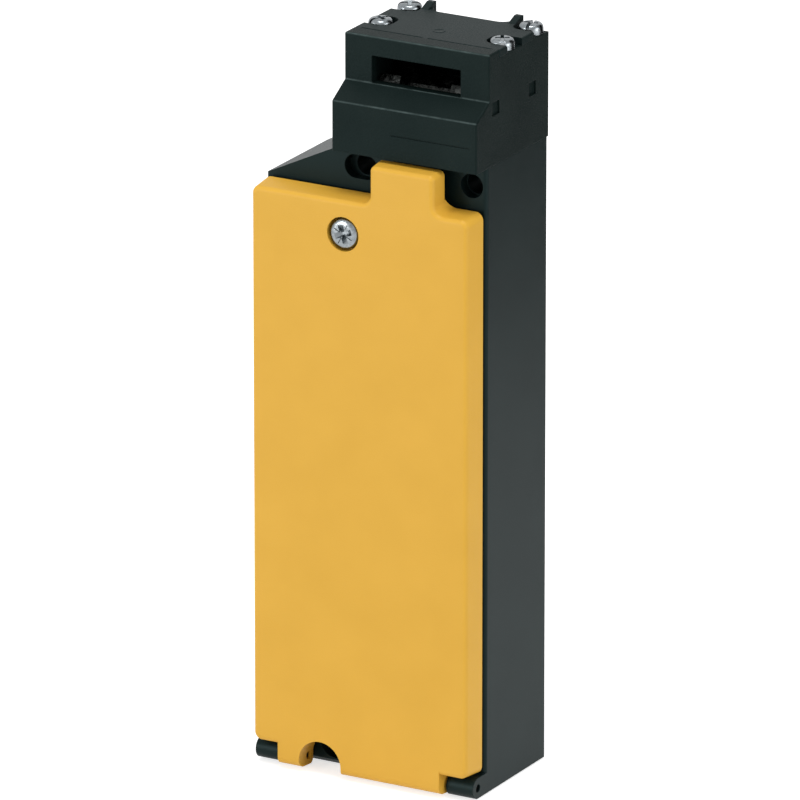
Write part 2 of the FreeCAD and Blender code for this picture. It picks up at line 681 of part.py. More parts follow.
def cover_gasket():
    """Moulded sealing ring, seated in the cover's groove and short of the base's rim."""
    return gasket_ring("cover_gasket", "0", "gasket_seal_face")


def cover_screw():
    """Captive pan-head screw of the cover, sunk level with its face."""
    return screw("cover_screw", "y", ("cover_screw_x", "cover_screw_z"), "cover_screw_seat", -1,
                 "cover_screw_radius", "cover_screw_head", "cover_screw_head_height",
                 "cover_screw_length")


def screw_keeper():
    """Washer pressed into the cover's back that keeps the screw from falling out."""
    disc = bar("keeper_disc", "y", ("cover_screw_x", "cover_screw_z"), "keeper_radius",
               ("cover_back - keeper_height", "cover_back"))
    hole = bar("keeper_hole", "y", ("cover_screw_x", "cover_screw_z"),
               "cover_screw_radius + screw_fit",
               ("cover_back - keeper_height - past", "cover_back + past"))
    return carved("screw_keeper", disc, hole)


def hinge_pins():
    """Two plain pins, fast in the base's barrels, on which the cover's knuckles turn."""
    left_pin = bar("hinge_pin_left", "x", ("hinge_y", "hinge_z"), "hinge_pin_radius",
                   ("left + pin_inset", "left + pin_inset + left_pin"))
    right_pin = bar("hinge_pin_right", "x", ("hinge_y", "hinge_z"), "hinge_pin_radius",
                    ("right - pin_inset - right_pin", "right - pin_inset"))
    return grouped("hinge_pins", left_pin, right_pin)


# ---------------------------------------------------------------- operating head

def screw_columns():
    """The four places of the lid's screws."""
    return {
        "front_left": ("head_left + screw_from_side", "lid_screw_front_y"),
        "front_right": ("right - screw_from_side", "lid_screw_front_y"),
        "back_left": ("head_left + screw_from_side", "lid_screw_back_y"),
        "back_right": ("right - screw_from_side", "lid_screw_back_y"),
    }


def scoop(name):
    """The scooped-out back edge of the head, with round inner corners."""
    opening = block(name + "_space", ("scoop_left", "scoop_right"), ("scoop_front", "back + past"),
                    ("head_top - scoop_drop", "head_top + 2*ear_height"))
    front = number("scoop_front")
    return rounded(name, opening, "scoop_corner",
                   lambda edge: runs_along(edge, "z") and near(edge.BoundBox.YMin, front))


def head_housing():
    """The head's body: stepped and sloped front, tongue slot, cam chamber and screw pillars."""
    body = doc.addObject("PartDesign::Body", "head_body")
    outline = profile(body, "head_outline", "yz", "head_left", [
        ("head_front", "base_height"),
        ("back", "base_height"),
        ("back", "ledge"),
        ("lid_seam", "ledge"),
        ("lid_seam", "head_top"),
        ("head_face", "head_top"),
        ("head_face", "step_high"),
        ("head_front", "step_low"),
    ])
    block_pad = pad(body, "head_pad", outline, "head_width")
    face, top = number("head_face"), number("head_top")
    sides = edge_round(body, "head_rounding", block_pad, "head_edge",
                       lambda edge: edge.BoundBox.XLength < EDGE_TOUCH
                       and edge.BoundBox.YMax < face + EDGE_TOUCH)
    step = number("step_low")
    edge_round(body, "head_front_rounding", sides, "top_edge",
               lambda edge: near(edge.BoundBox.ZMin, top, step)
               and edge.BoundBox.ZLength < EDGE_TOUCH
               and edge.BoundBox.YMax < face + 2)

    tools = [
        block("cam_chamber", ("chamber_left", "chamber_right"), ("chamber_front", "chamber_back"),
              ("chamber_floor", "slot_top")),
        block("cam_chamber_mouth", ("chamber_left", "chamber_right"), ("lid_seam", "chamber_back"),
              ("slot_top - past", "head_top + past")),
        block("tongue_slot", ("slot_left", "slot_right"), ("head_face - past", "chamber_front + past"),
              ("step_high", "slot_top")),
        bar("rod_hole", "z", ("head_middle", "cam_y"), "rod_radius + rod_floor_gap",
            ("base_height - past", "chamber_floor + past")),
        block("lid_rebate", ("head_left + lid_flange_inset", "right - lid_flange_inset"),
              ("lid_seam", "back - lid_flange_inset"), ("flange_low", "head_top + past")),
        block("head_front_line", ("head_middle - line_left", "right - line_from_right"),
              ("head_front - past", "head_front + line_depth"),
              ("base_height + line_height", "base_height + line_height + line_width")),
        bar("axle_seats", "x", ("cam_y", "cam_z"), "axle_radius",
            ("chamber_left - axle_seat", "chamber_right + axle_seat")),
        scoop("head_scoop"),
    ]
    for name, place in screw_columns().items():
        tools.append(bar("lid_screw_hole_" + name, "z", place, "lid_screw_radius + screw_fit",
                         ("ledge - lid_screw_length - past", "head_top")))
    for x_name, x_place in HEAD_SCREW_X.items():
        for y_name in ("front", "back"):
            tools.append(bar(f"head_screw_thread_{x_name}_{y_name}", "z",
                             (x_place, f"head_screw_{y_name}_y"), "head_screw_radius + screw_fit",
                             ("base_height - past", "tray_top + head_screw_length + screw_end_room")))
    for y_name, sign in SIDES:
        tools.append(block("side_mark_" + y_name, ("right - mark_depth", "right + past"),
                           (f"cam_y + {sign}*mark_spread/2 - mark_size/2",
                            f"cam_y + {sign}*mark_spread/2 + mark_size/2"),
                           ("cam_z - mark_below_axle - mark_size/2",
                            "cam_z - mark_below_axle + mark_size/2")))
    return carved("head_housing", body, *tools)


def lid_ear(name, x):
    """A lug at the lid's back edge that rises in a ramp beside the scoop."""
    body = doc.addObject("PartDesign::Body", name)
    outline = profile(body, name + "_outline", "yz", x, [
        ("scoop_front", "head_top - lid_thickness/2"),
        ("back", "head_top - lid_thickness/2"),
        ("back", "head_top + ear_height"),
        ("back - ear_top", "head_top + ear_height"),
        ("scoop_front", "head_top"),
    ])
    pad(body, name + "_pad", outline, "ear_width")
    return body


def lid_pocket(name, ends, inner, reach):
    """A corner pocket, open to the side, with round inner corners."""
    pocket = block(name + "_space", ends, reach, ("ledge", "head_top + 2*ear_height"))
    side = number(inner)
    return rounded(name, pocket, "pocket_corner",
                   lambda edge: runs_along(edge, "z") and near(edge.BoundBox.XMin, side))


def head_lid():
    """The head's lid: a plate with four corner pockets, and a flange that drops into the body."""
    plate = block("lid_plate", ("head_left", "right"), ("lid_seam + lid_fit", "back"),
                  ("ledge", "head_top"))
    ledge = number("ledge")
    plate = rounded("lid_plate_round", plate, "top_edge",
                    lambda edge: not near(edge.BoundBox.ZMax, ledge))
    flange = block("lid_flange_plate",
                   ("head_left + lid_flange_inset + lid_fit", "right - lid_flange_inset - lid_fit"),
                   ("lid_seam + lid_fit", "back - lid_flange_inset - lid_fit"),
                   ("flange_low", "ledge"))
    bridges = [
        block("seam_bridge_" + name, ends, ("lid_seam", "lid_seam + past"), ("ledge", "head_top"))
        for name, ends in (
            ("left", ("head_left + top_edge", "head_left + seam_end")),
            ("middle", ("head_middle + seam_bridge_shift - seam_bridge/2",
                        "head_middle + seam_bridge_shift + seam_bridge/2")),
            ("right", ("right - seam_end", "right - top_edge")),
        )
    ]
    ears = [
        lid_ear("left_ear", "scoop_left - ear_width"),
        lid_ear("right_ear", "scoop_right"),
    ]
    tools = [scoop("lid_scoop")]
    for side, ends, inner in (
        ("left", ("head_left - past", "head_left + pocket_width"), "lid_pocket_left"),
        ("right", ("right - pocket_width", "right + past"), "lid_pocket_right"),
    ):
        tools.append(lid_pocket("front_pocket_" + side, ends, inner,
                                ("front_pocket_y", "front_pocket_y + pocket_depth")))
        tools.append(lid_pocket("back_pocket_" + side, ends, inner,
                                ("back_pocket_y", "back + pocket_corner + past")))
    for name, place in screw_columns().items():
        tools.append(bar("lid_hole_" + name, "z", place, "lid_screw_radius + screw_fit",
                         ("flange_low - past", "head_top")))
    return carved("head_lid", joined("lid_solid", plate, flange, *bridges, *ears), *tools)


def lid_screws():
    return grouped("lid_screws", *[
        screw("lid_screw_" + name, "z", place, "ledge", 1, "lid_screw_radius", "lid_screw_head",
              "lid_screw_head_height", "lid_screw_length")
        for name, place in screw_columns().items()
    ])


def head_fixing_screws():
    """Four screws from inside the tray, up through its roof and into the head."""
    return grouped("head_fixing_screws", *[
        screw(f"head_screw_{x_name}_{y_name}", "z", (x_place, f"head_screw_{y_name}_y"), "tray_top",
              -1, "head_screw_radius", "head_screw_head", "head_screw_head_height",
              "head_screw_length")
        for x_name, x_place in HEAD_SCREW_X.items()
        for y_name in ("front", "back")
    ])


def face_seal():
    """Flat ring in the base's top that seals the joint with the head."""
    ring = bar("face_seal_disc", "z", ("head_middle", "cam_y"), "face_seal_inner + face_seal_width",
               ("base_height - face_seal_height", "base_height"))
    hole = bar("face_seal_hole", "z", ("head_middle", "cam_y"), "face_seal_inner",
               ("base_height - face_seal_height - past", "base_height + past"))
    return carved("face_seal", ring, hole)


# ---------------------------------------------------------------- cam, rod and bush

def cam_point(radius, degrees):
    """A point of the cam's section, seen along +X, at a polar angle from +Y towards +Z."""
    angle = math.radians(degrees)
    return Vector(0, radius*math.cos(angle), radius*math.sin(angle))


def cam_lobe():
    """The lobe: a high dwell, a fall at an even rate per degree, and a low dwell."""
    high, low = number("lobe_high"), number("lobe_low")
    start, turn, dwell = number("lobe_start"), number("lobe_turn"), number("lobe_dwell")
    steps = 8
    fall = [
        cam_point(high - (high - low)*i/steps, start + turn*i/steps)
        for i in range(steps + 1)
    ]
    slope = Part.BSplineCurve()
    slope.interpolate(fall)
    top = Part.Arc(cam_point(high, start - dwell), cam_point(high, start - dwell/2), fall[0])
    end = start + turn
    foot = Part.Arc(fall[-1], cam_point(low, end + dwell/2), cam_point(low, end + dwell))
    outline = Part.Wire([
        Part.LineSegment(Vector(), top.StartPoint).toShape(),
        top.toShape(),
        slope.toShape(),
        foot.toShape(),
        Part.LineSegment(foot.EndPoint, Vector()).toShape(),
    ])
    lobe = doc.addObject("Part::Feature", "cam_lobe")
    lobe.Shape = Part.Face(outline).extrude(Vector(number("lobe_width"), 0, 0))
    bind(lobe, "Placement.Base.x", "head_middle - lobe_width/2")
    bind(lobe, "Placement.Base.y", "cam_y")
    bind(lobe, "Placement.Base.z", "cam_z")
    return lobe


def cam_wheel():
    """Two discs notched for the tongue's cross-bar, on a hub that carries the rod's lobe."""
    centre = ("cam_y", "cam_z")
    hub = bar("cam_hub", "x", centre, "hub_radius", ("cam_left", "cam_right"))
    left_disc = bar("cam_disc_left", "x", centre, "disc_radius",
                    ("cam_left", "cam_left + disc_width"))
    right_disc = bar("cam_disc_right", "x", centre, "disc_radius",
                     ("cam_right - disc_width", "cam_right"))
    solid = joined("cam_solid", hub, left_disc, right_disc, cam_lobe())
    notch = doc.addObject("Part::Box", "cam_notch")
    bind(notch, "Length", "cam_right - cam_left + 2*past")
    bind(notch, "Width", "disc_radius")
    bind(notch, "Height", "notch_width")
    angle = number("notch_angle")
    turned = Rotation(Vector(1, 0, 0), angle)
    floor = number("disc_radius") - number("notch_depth")
    corner = turned.multVec(Vector(0, floor, -number("notch_width")/2))
    notch.Placement = FreeCAD.Placement(Vector(), turned)
    bind(notch, "Placement.Base.x", "cam_left - past")
    bind(notch, "Placement.Base.y", f"cam_y + ({corner.y})")
    bind(notch, "Placement.Base.z", f"cam_z + ({corner.z})")
    bore = bar("cam_bore", "x", centre, "axle_radius + running_fit",
               ("cam_left - past", "cam_right + past"))
    return carved("cam_wheel", solid, notch, bore)


def cam_axle():
    return bar("cam_axle", "x", ("cam_y", "cam_z"), "axle_radius",
               ("chamber_left - axle_seat", "chamber_right + axle_seat"))


def driving_rod():
    """The rod: a rounded tip under the cam, and a waist that the locking lever's nose enters."""
    centre = ("head_middle", "cam_y")
    shank = bar("rod_shank", "z", centre, "rod_radius", ("rod_bottom", "rod_shoulder"))
    taper = cone("rod_taper", "z", centre, ("rod_radius", "rod_tip"),
                 ("rod_shoulder", "rod_shoulder + rod_tip_cone"))
    tip = ball("rod_ball", (*centre, "rod_shoulder + rod_tip_cone"), "rod_tip")
    whole = joined("rod_whole", shank, taper, tip)
    waist = carved("rod_waist",
                   bar("rod_waist_out", "z", centre, "rod_radius + past", ("waist_low", "waist_high")),
                   bar("rod_waist_in", "z", centre, "waist_radius",
                       ("waist_low - past", "waist_high + past")))
    return carved("driving_rod", whole, waist)


def rod_bush():
    """Flanged bush in the base's roof that guides the rod and holds its seal."""
    centre = ("head_middle", "cam_y")
    sleeve = bar("bush_sleeve", "z", centre, "bush_radius", ("tray_top", "base_height"))
    flange = bar("bush_flange_disc", "z", centre, "bush_flange",
                 ("tray_top - bush_flange_height", "tray_top"))
    bore = bar("bush_rod_bore", "z", centre, "rod_radius + running_fit",
               ("tray_top - bush_flange_height - past", "base_height + past"))
    pocket = bar("bush_seal_pocket", "z", centre, "rod_radius + running_fit + seal_lip",
                 ("base_height - seal_pocket", "base_height + past"))
    return carved("rod_bush", joined("bush_solid", sleeve, flange), bore, pocket)


def rod_seal():
    """Lip ring around the rod in the top of the bush."""
    centre = ("head_middle", "cam_y")
    ring = bar("rod_seal_out", "z", centre, "rod_radius + running_fit + seal_lip",
               ("base_height - seal_pocket", "base_height - seal_pocket + seal_height"))
    hole = bar("rod_seal_in", "z", centre, "rod_radius + running_fit",
               ("base_height - seal_pocket - past", "base_height + past"))
    return carved("rod_seal", ring, hole)


# ---------------------------------------------------------------- solenoid

def solenoid_frame():
    """Bent steel frame: a back plate with a screwed foot, and two plates that hold the bobbin."""
    wide = ("frame_left", "frame_right")
    back_plate = block("frame_back_plate", wide, ("frame_seat", "frame_rear"),
                       ("frame_low - frame_foot", "frame_high"))
    low_plate = block("frame_low_plate", wide, ("frame_front_y", "frame_rear"),
                      ("frame_low", "frame_under"))
    high_plate = block("frame_high_plate", wide, ("frame_front_y", "frame_rear"),
                       ("frame_over", "frame_high"))
    centre = ("coil_x", "cam_y")
    holes = [
        bar("frame_rivet_hole", "z", centre, "core_rivet", ("frame_low - past", "frame_under + past")),
        bar("frame_armature_hole", "z", centre, "bobbin_hole",
            ("frame_over - past", "frame_high + past")),
    ]
    for side, sign in SIDES:
        holes.append(bar(f"frame_foot_hole_{side}", "y",
                         (f"coil_x + {sign}*frame_screw_spread/2", "frame_screw_z"),
                         "small_screw_radius + screw_fit", ("frame_seat - past", "frame_rear + past")))
    return carved("solenoid_frame", joined("frame_solid", back_plate, low_plate, high_plate), *holes)


def solenoid_screws():
    return grouped("solenoid_screws", *[
        screw(f"solenoid_screw_{side}", "y",
              (f"coil_x + {sign}*frame_screw_spread/2", "frame_screw_z"), "frame_seat", -1,
              "small_screw_radius", "small_screw_head", "small_screw_head_height",
              "tray_back + small_screw_bite - frame_seat")
        for side, sign in SIDES
    ])


def coil_bobbin():
    """Moulded spool between the frame's plates."""
    centre = ("coil_x", "cam_y")
    tube = bar("bobbin_tube", "z", centre, "bobbin_hole + bobbin_wall",
               ("frame_under", "frame_over"))
    low = bar("bobbin_low", "z", centre, "bobbin_flange",
              ("frame_under", "frame_under + bobbin_flange_height"))
    high = bar("bobbin_high", "z", centre, "bobbin_flange",
               ("frame_over - bobbin_flange_height", "frame_over"))
    bore = bar("bobbin_bore", "z", centre, "bobbin_hole", ("frame_under - past", "frame_over + past"))
    return carved("coil_bobbin", joined("bobbin_solid", tube, low, high), bore)


def coil_winding():
    centre = ("coil_x", "cam_y")
    ends = ("frame_under + bobbin_flange_height", "frame_over - bobbin_flange_height")
    copper = bar("winding_bar", "z", centre, "coil_radius", ends)
    inside = bar("winding_inside", "z", centre, "bobbin_hole + bobbin_wall",
                 (f"{ends[0]} - past", f"{ends[1]} + past"))
    return carved("coil_winding", copper, inside)


def fixed_core():
    """Iron stop at the bottom of the bobbin, riveted through the frame."""
    centre = ("coil_x", "cam_y")
    return joined(
        "fixed_core",
        bar("core_bar", "z", centre, "bobbin_hole", ("frame_under", "core_top")),
        bar("core_rivet_bar", "z", centre, "core_rivet", ("frame_low", "frame_under")),
        bar("core_rivet_end", "z", centre, "core_rivet + core_rivet_lip",
            ("frame_low - core_rivet_head", "frame_low")),
    )


def armature():
    """Iron plunger with a forked top for the locking lever and a groove for the spring clip."""
    centre = ("coil_x", "cam_y")
    plunger = bar("armature_bar", "z", centre, "armature_radius", ("armature_bottom", "armature_top"))
    fork = block("clevis_space", ("coil_x - armature_radius - past", "coil_x + armature_radius + past"),
                 ("cam_y - clevis_slot/2", "cam_y + clevis_slot/2"),
                 ("clevis_bottom", "armature_top + past"))
    pin_bore = bar("link_pin_bore", "y", ("coil_x", "pivot_z"), "link_pin_radius",
                   ("cam_y - armature_radius - past", "cam_y + armature_radius + past"))
    groove = carved("clip_groove",
                    bar("clip_groove_out", "z", centre, "armature_radius + past",
                        ("clip_z", "clip_z + clip_height")),
                    bar("clip_groove_in", "z", centre, "groove_radius",
                        ("clip_z - past", "clip_z + clip_height + past")))
    return carved("armature", plunger, fork, pin_bore, groove)


def spring_clip():
    """Open ring snapped into the armature's groove; the return spring bears on it."""
    centre = ("coil_x", "cam_y")
    disc = bar("clip_disc", "z", centre, "clip_radius", ("clip_z", "clip_z + clip_height"))
    through = ("clip_z - past", "clip_z + clip_height + past")
    hole = bar("clip_hole", "z", centre, "groove_radius", through)
    mouth = block("clip_mouth", ("coil_x - clip_mouth/2", "coil_x + clip_mouth/2"),
                  ("cam_y - clip_radius - past", "cam_y"), through)
    return carved("spring_clip", disc, hole, mouth)


def armature_spring():
    return coil_spring("armature_spring", ("coil_x", "cam_y"), "armature_coil", "armature_wire",
                       ("frame_high", "clip_z"), "armature_turns")


def link_pin():
    """Cross pin of the armature's fork."""
    return bar("link_pin", "y", ("coil_x", "pivot_z"), "link_pin_radius",
               ("cam_y - armature_radius + link_pin_inset",
                "cam_y + armature_radius - link_pin_inset"))


# ---------------------------------------------------------------- locking lever

def locking_lever():
    """Bell-crank: a slotted arm over the armature's pin, and an upright arm with the lock nose."""
    thick = ("lever_front", "lever_back")
    hub = bar("lever_hub_bar", "y", ("pivot_x", "pivot_z"), "lever_hub", thick)
    arm = block("lever_arm", ("coil_x", "pivot_x"), thick,
                ("pivot_z - lever_arm_half", "pivot_z + lever_arm_half"))
    eye = bar("lever_eye", "y", ("coil_x", "pivot_z"), "lever_eye", thick)
    upright = block("lever_upright", ("pivot_x - lever_arm_half", "pivot_x + lever_arm_half"), thick,
                    ("pivot_z", "nose_z + nose_half"))
    nose = block("lever_nose", ("pivot_x", "nose_tip"), thick,
                 ("nose_z - nose_half", "nose_z + nose_half"))
    slot = [
        block("link_slot_middle", ("coil_x - link_slot_shift", "coil_x"),
              ("lever_front - past", "lever_back + past"),
              ("pivot_z - link_slot_half", "pivot_z + link_slot_half")),
        bar("link_slot_near", "y", ("coil_x", "pivot_z"), "link_slot_half",
            ("lever_front - past", "lever_back + past")),
        bar("link_slot_far", "y", ("coil_x - link_slot_shift", "pivot_z"), "link_slot_half",
            ("lever_front - past", "lever_back + past")),
    ]
    bore = bar("lever_bore", "y", ("pivot_x", "pivot_z"), "lever_pin_radius + running_fit",
               ("lever_front - past", "lever_back + past"))
    solid = joined("lever_solid", hub, arm, eye, upright, nose)
    return carved("locking_lever", solid, bore, *slot)


def lever_pin():
    """Headed pin that carries the lever on the base's boss."""
    return screw("lever_pin", "y", ("pivot_x", "pivot_z"), "lever_front - move_gap", -1,
                 "lever_pin_radius", "lever_pin_head", "lever_pin_head_height",
                 "lever_thickness + move_gap + lever_pin_in_wall")


# ---------------------------------------------------------------- contact block

LEVELS = (0, 1, 2)


def level_z(level):
    return f"level_low + {level}*level_pitch"


def contact_block():
    """Moulded block with a channel for the carrier, and a bay and a window at each level."""
    solid = joined(
        "block_solid",
        block("block_main", ("block_left", "block_right"), ("block_front", "tray_back"),
              ("block_low", "block_high")),
        block("block_foot_slab", ("block_left", "block_right"),
              ("tray_back - block_foot_depth", "tray_back"),
              ("block_low - block_foot", "block_low + past")),
    )
    tools = [
        block("carrier_channel",
              ("head_middle - carrier_width/2 - channel_gap",
               "head_middle + carrier_width/2 + channel_gap"),
              ("carrier_front - channel_gap", "carrier_back + channel_gap"),
              ("channel_low", "block_high + past")),
    ]
    for level in LEVELS:
        base = level_z(level)
        tools.append(block(f"window_{level}",
                           ("head_middle - bridge_length/2 - window_play",
                            "head_middle + bridge_length/2 + window_play"),
                           ("block_front - past", "carrier_back + channel_gap"),
                           (f"{base} - window_height + strip_thickness", f"{base} + strip_thickness")))
        for side, sign in SIDES:
            edge = f"block_{side}"
            bay = (edge, f"{edge} + bay_width") if sign < 0 else (f"{edge} - bay_width", edge)
            bay = (f"{bay[0]} - past", bay[1]) if sign < 0 else (bay[0], f"{bay[1]} + past")
            tools.append(block(f"bay_{side}_{level}", bay, ("block_front - past", "strip_y"),
                               (f"{base} - bay_height/2", f"{base} + bay_height/2")))
            tools.append(strip(f"strip_room_{side}_{level}", level, side, sign))
            tools.append(bar(f"terminal_bore_{side}_{level}", "y",
                             (terminal_x(side, sign), f"{base} + terminal_lift"),
                             "small_screw_radius + screw_fit",
                             ("strip_y - past", "strip_y + terminal_screw_length + screw_end_room")))
    for side, sign in SIDES:
        tools.append(bar(f"block_foot_hole_{side}", "y",
                         (f"head_middle + {sign}*block_screw_spread/2", "block_screw_z"),
                         "small_screw_radius + screw_fit", ("block_front", "tray_back + past")))
    return carved("contact_block", solid, *tools)


def terminal_x(side, sign):
    return f"block_{side} - {sign}*(bay_width/2 + strip_from_wall)"


def strip(name, level, side, sign):
    """A contact strip: an upright terminal plate and a leg that reaches in over the bridge."""
    base = level_z(level)
    x = terminal_x(side, sign)
    leg_far = f"head_middle + {sign}*leg_reach"
    leg_near = f"{x} - {sign}*strip_width/2"
    leg = (leg_near, leg_far) if sign < 0 else (leg_far, leg_near)
    plate = block(name + "_plate", (f"{x} - strip_width/2", f"{x} + strip_width/2"),
                  ("strip_y", "strip_y + strip_thickness"),
                  (f"{base} - strip_height/2", f"{base} + strip_height/2"))
    tongue = block(name + "_leg", leg, ("strip_y", "cam_y + bridge_depth/2"),
                   (base, f"{base} + strip_thickness"))
    return joined(name, plate, tongue)


def contact_x(side, sign):
    return f"head_middle + {sign}*(bridge_length/2 - contact_radius)"


def fixed_contacts():
    """Six bent strips, each with a riveted contact and a threaded hole for its terminal screw."""
    pieces = []
    for level in LEVELS:
        base = level_z(level)
        for side, sign in SIDES:
            name = f"fixed_contact_{side}_{level}"
            button = bar(name + "_button", "z", (contact_x(side, sign), "cam_y"), "contact_radius",
                         (f"{base} - contact_height", base))
            whole = joined(name + "_solid", strip(name + "_strip", level, side, sign), button)
            hole = bar(name + "_hole", "y", (terminal_x(side, sign), f"{base} + terminal_lift"),
                       "small_screw_radius + screw_fit",
                       ("strip_y - past", "strip_y + strip_thickness + past"))
            pieces.append(carved(name, whole, hole))
    return grouped("fixed_contacts", *pieces)


def terminal_screws():
    return grouped("terminal_screws", *[
        screw(f"terminal_screw_{side}_{level}", "y",
              (terminal_x(side, sign), f"{level_z(level)} + terminal_lift"),
              "strip_y", -1, "small_screw_radius", "terminal_screw_head",
              "terminal_screw_head_height", "terminal_screw_length")
        for level in LEVELS
        for side, sign in SIDES
    ])


def bridge_top(level):
    """The bridge's top face at rest: open by the rod's travel below the fixed contact."""
    return f"{level_z(level)} - 2*contact_height - rod_travel - bridge_gap"


def contact_carrier():
    """Sliding bar under the rod, with a window for each bridge and a socket for its spring."""
    slider = block("carrier_bar",
                   ("head_middle - carrier_width/2", "head_middle + carrier_width/2"),
                   ("carrier_front", "carrier_back"), ("carrier_low", "rod_bottom"))
    windows = [
        block(f"carrier_window_{level}",
              ("head_middle - carrier_width/2 - past", "head_middle + carrier_width/2 + past"),
              ("cam_y - bridge_depth/2", "cam_y + bridge_depth/2"),
              (f"{bridge_top(level)} - bridge_thickness", bridge_top(level)))
        for level in LEVELS
    ]
    return carved("contact_carrier", slider, *windows)


def contact_bridges():
    """Three bridges, each with a contact button at both ends."""
    pieces = []
    for level in LEVELS:
        top = bridge_top(level)
        plate = block(f"bridge_plate_{level}",
                      ("head_middle - bridge_length/2", "head_middle + bridge_length/2"),
                      ("cam_y - bridge_depth/2", "cam_y + bridge_depth/2"),
                      (f"{top} - bridge_thickness", top))
        buttons = [
            bar(f"bridge_button_{side}_{level}", "z", (contact_x(side, sign), "cam_y"),
                "contact_radius", (top, f"{top} + contact_height"))
            for side, sign in SIDES
        ]
        pieces.append(joined(f"bridge_{level}", plate, *buttons))
    return grouped("contact_bridges", *pieces)


def carrier_spring():
    return coil_spring("carrier_spring", ("head_middle", "cam_y"), "carrier_coil", "carrier_wire",
                       ("channel_low", "carrier_low"), "carrier_turns")


def contact_block_screws():
    return grouped("contact_block_screws", *[
        screw(f"contact_block_screw_{side}", "y",
              (f"head_middle + {sign}*block_screw_spread/2", "block_screw_z"),
              "tray_back - block_foot_depth", -1, "small_screw_radius", "small_screw_head",
              "small_screw_head_height", "block_foot_depth + small_screw_bite")
        for side, sign in SIDES
    ])


# ---------------------------------------------------------------- terminal block of the coil

POLES = (-1, 0, 1)


def pole_x(pole):
    return f"coil_x + {pole}*pole_pitch"


def coil_terminal_block():
    """Three-pole terminal block on the tray's back wall, with wire holes underneath."""
    low, high = "coil_block_z - coil_block_height/2", "coil_block_z + coil_block_height/2"
    solid = block("coil_block_solid",
                  ("coil_x - coil_block_width/2", "coil_x + coil_block_width/2"),
                  ("coil_block_front", "tray_back"), (low, high))
    tools = []
    for pole in POLES:
        x = pole_x(pole)
        tools.append(block(f"clamp_room_{pole + 1}", (f"{x} - clamp_size/2", f"{x} + clamp_size/2"),
                           ("clamp_front", "clamp_front + clamp_size"),
                           (f"coil_block_z - clamp_length/2", f"coil_block_z + clamp_length/2")))
        tools.append(bar(f"pole_screw_way_{pole + 1}", "y", (x, "coil_block_z"),
                         "pole_screw_head + pole_screw_play",
                         ("coil_block_front - past", "clamp_front")))
        tools.append(bar(f"wire_way_{pole + 1}", "z", (x, "clamp_front + clamp_size/2"),
                         "wire_hole", (f"{low} - past", f"{high} + past")))
    for side, sign in SIDES:
        tools.append(bar(f"coil_block_hole_{side}", "y",
                         (f"coil_x + {sign}*pole_pitch/2", "coil_block_z"),
                         "coil_block_screw + screw_fit", ("coil_block_front - past", "tray_back + past")))
    return carved("coil_terminal_block", solid, *tools)


def coil_terminals():
    """Three brass clamps, each bored for a wire and threaded for its screw."""
    pieces = []
    for pole in POLES:
        x = pole_x(pole)
        body = block(f"clamp_body_{pole + 1}", (f"{x} - clamp_size/2", f"{x} + clamp_size/2"),
                     ("clamp_front", "clamp_front + clamp_size"),
                     ("coil_block_z - clamp_length/2", "coil_block_z + clamp_length/2"))
        wire = bar(f"clamp_wire_{pole + 1}", "z", (x, "clamp_front + clamp_size/2"),
                   "wire_hole", ("coil_block_z - clamp_length/2 - past",
                                 "coil_block_z + clamp_length/2 + past"))
        thread = bar(f"clamp_thread_{pole + 1}", "y", (x, "coil_block_z"), "pole_screw + screw_fit",
                     ("clamp_front - past", "clamp_front + clamp_size/2"))
        pieces.append(carved(f"coil_terminal_{pole + 1}", body, wire, thread))
    return grouped("coil_terminals", *pieces)


def coil_terminal_screws():
    """Slotted grub-like screws of the three clamps."""
    return grouped("coil_terminal_screws", *[
        screw(f"coil_terminal_screw_{pole + 1}", "y", (pole_x(pole), "coil_block_z"),
              "clamp_front - pole_screw_lift", -1, "pole_screw", "pole_screw_head",
              "pole_screw_head_height", "pole_screw_length")
        for pole in POLES
    ])


# ---------------------------------------------------------------- build, check and write

BUILDERS = (
    housing_base, front_cover, cover_gasket, cover_screw, screw_keeper, hinge_pins,
    head_housing, head_lid, lid_screws, head_fixing_screws, face_seal,
    cam_wheel, cam_axle, driving_rod, rod_bush, rod_seal,
    solenoid_frame, solenoid_screws, coil_bobbin, coil_winding, fixed_core, armature, spring_clip,
    armature_spring, link_pin, locking_lever, lever_pin,
    contact_block, fixed_contacts, terminal_screws, contact_carrier, contact_bridges,
    carrier_spring, contact_block_screws,
    coil_terminal_block, coil_terminals, coil_terminal_screws,
)


def write_parts():
    """Build every sub-part, refuse a broken document, and write one STEP file per node."""
    nodes = []
    for builder in BUILDERS:
        piece = builder()
        piece.Label = builder.__name__
        nodes.append(piece)
    doc.recompute()
    for item in doc.Objects:
        if "Invalid" in item.State or "Error" in item.State:
            raise RuntimeError(f"{item.Name} failed to build: {item.State}")
    os.makedirs("parts", exist_ok=True)
    for piece in nodes:
        if piece.Shape.isNull() or not piece.Shape.isValid() or not piece.Shape.Solids:
            raise RuntimeError(f"{piece.Label} has no valid solid")
        piece.Shape.exportStep(f"parts/{piece.Label}.step")
        print(f"{piece.Label}: {len(piece.Shape.Solids)} solid(s), {piece.Shape.Volume:.1f} mm3")


write_parts()
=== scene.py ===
import math

import bmesh
import bpy
from mathutils import Matrix, Vector


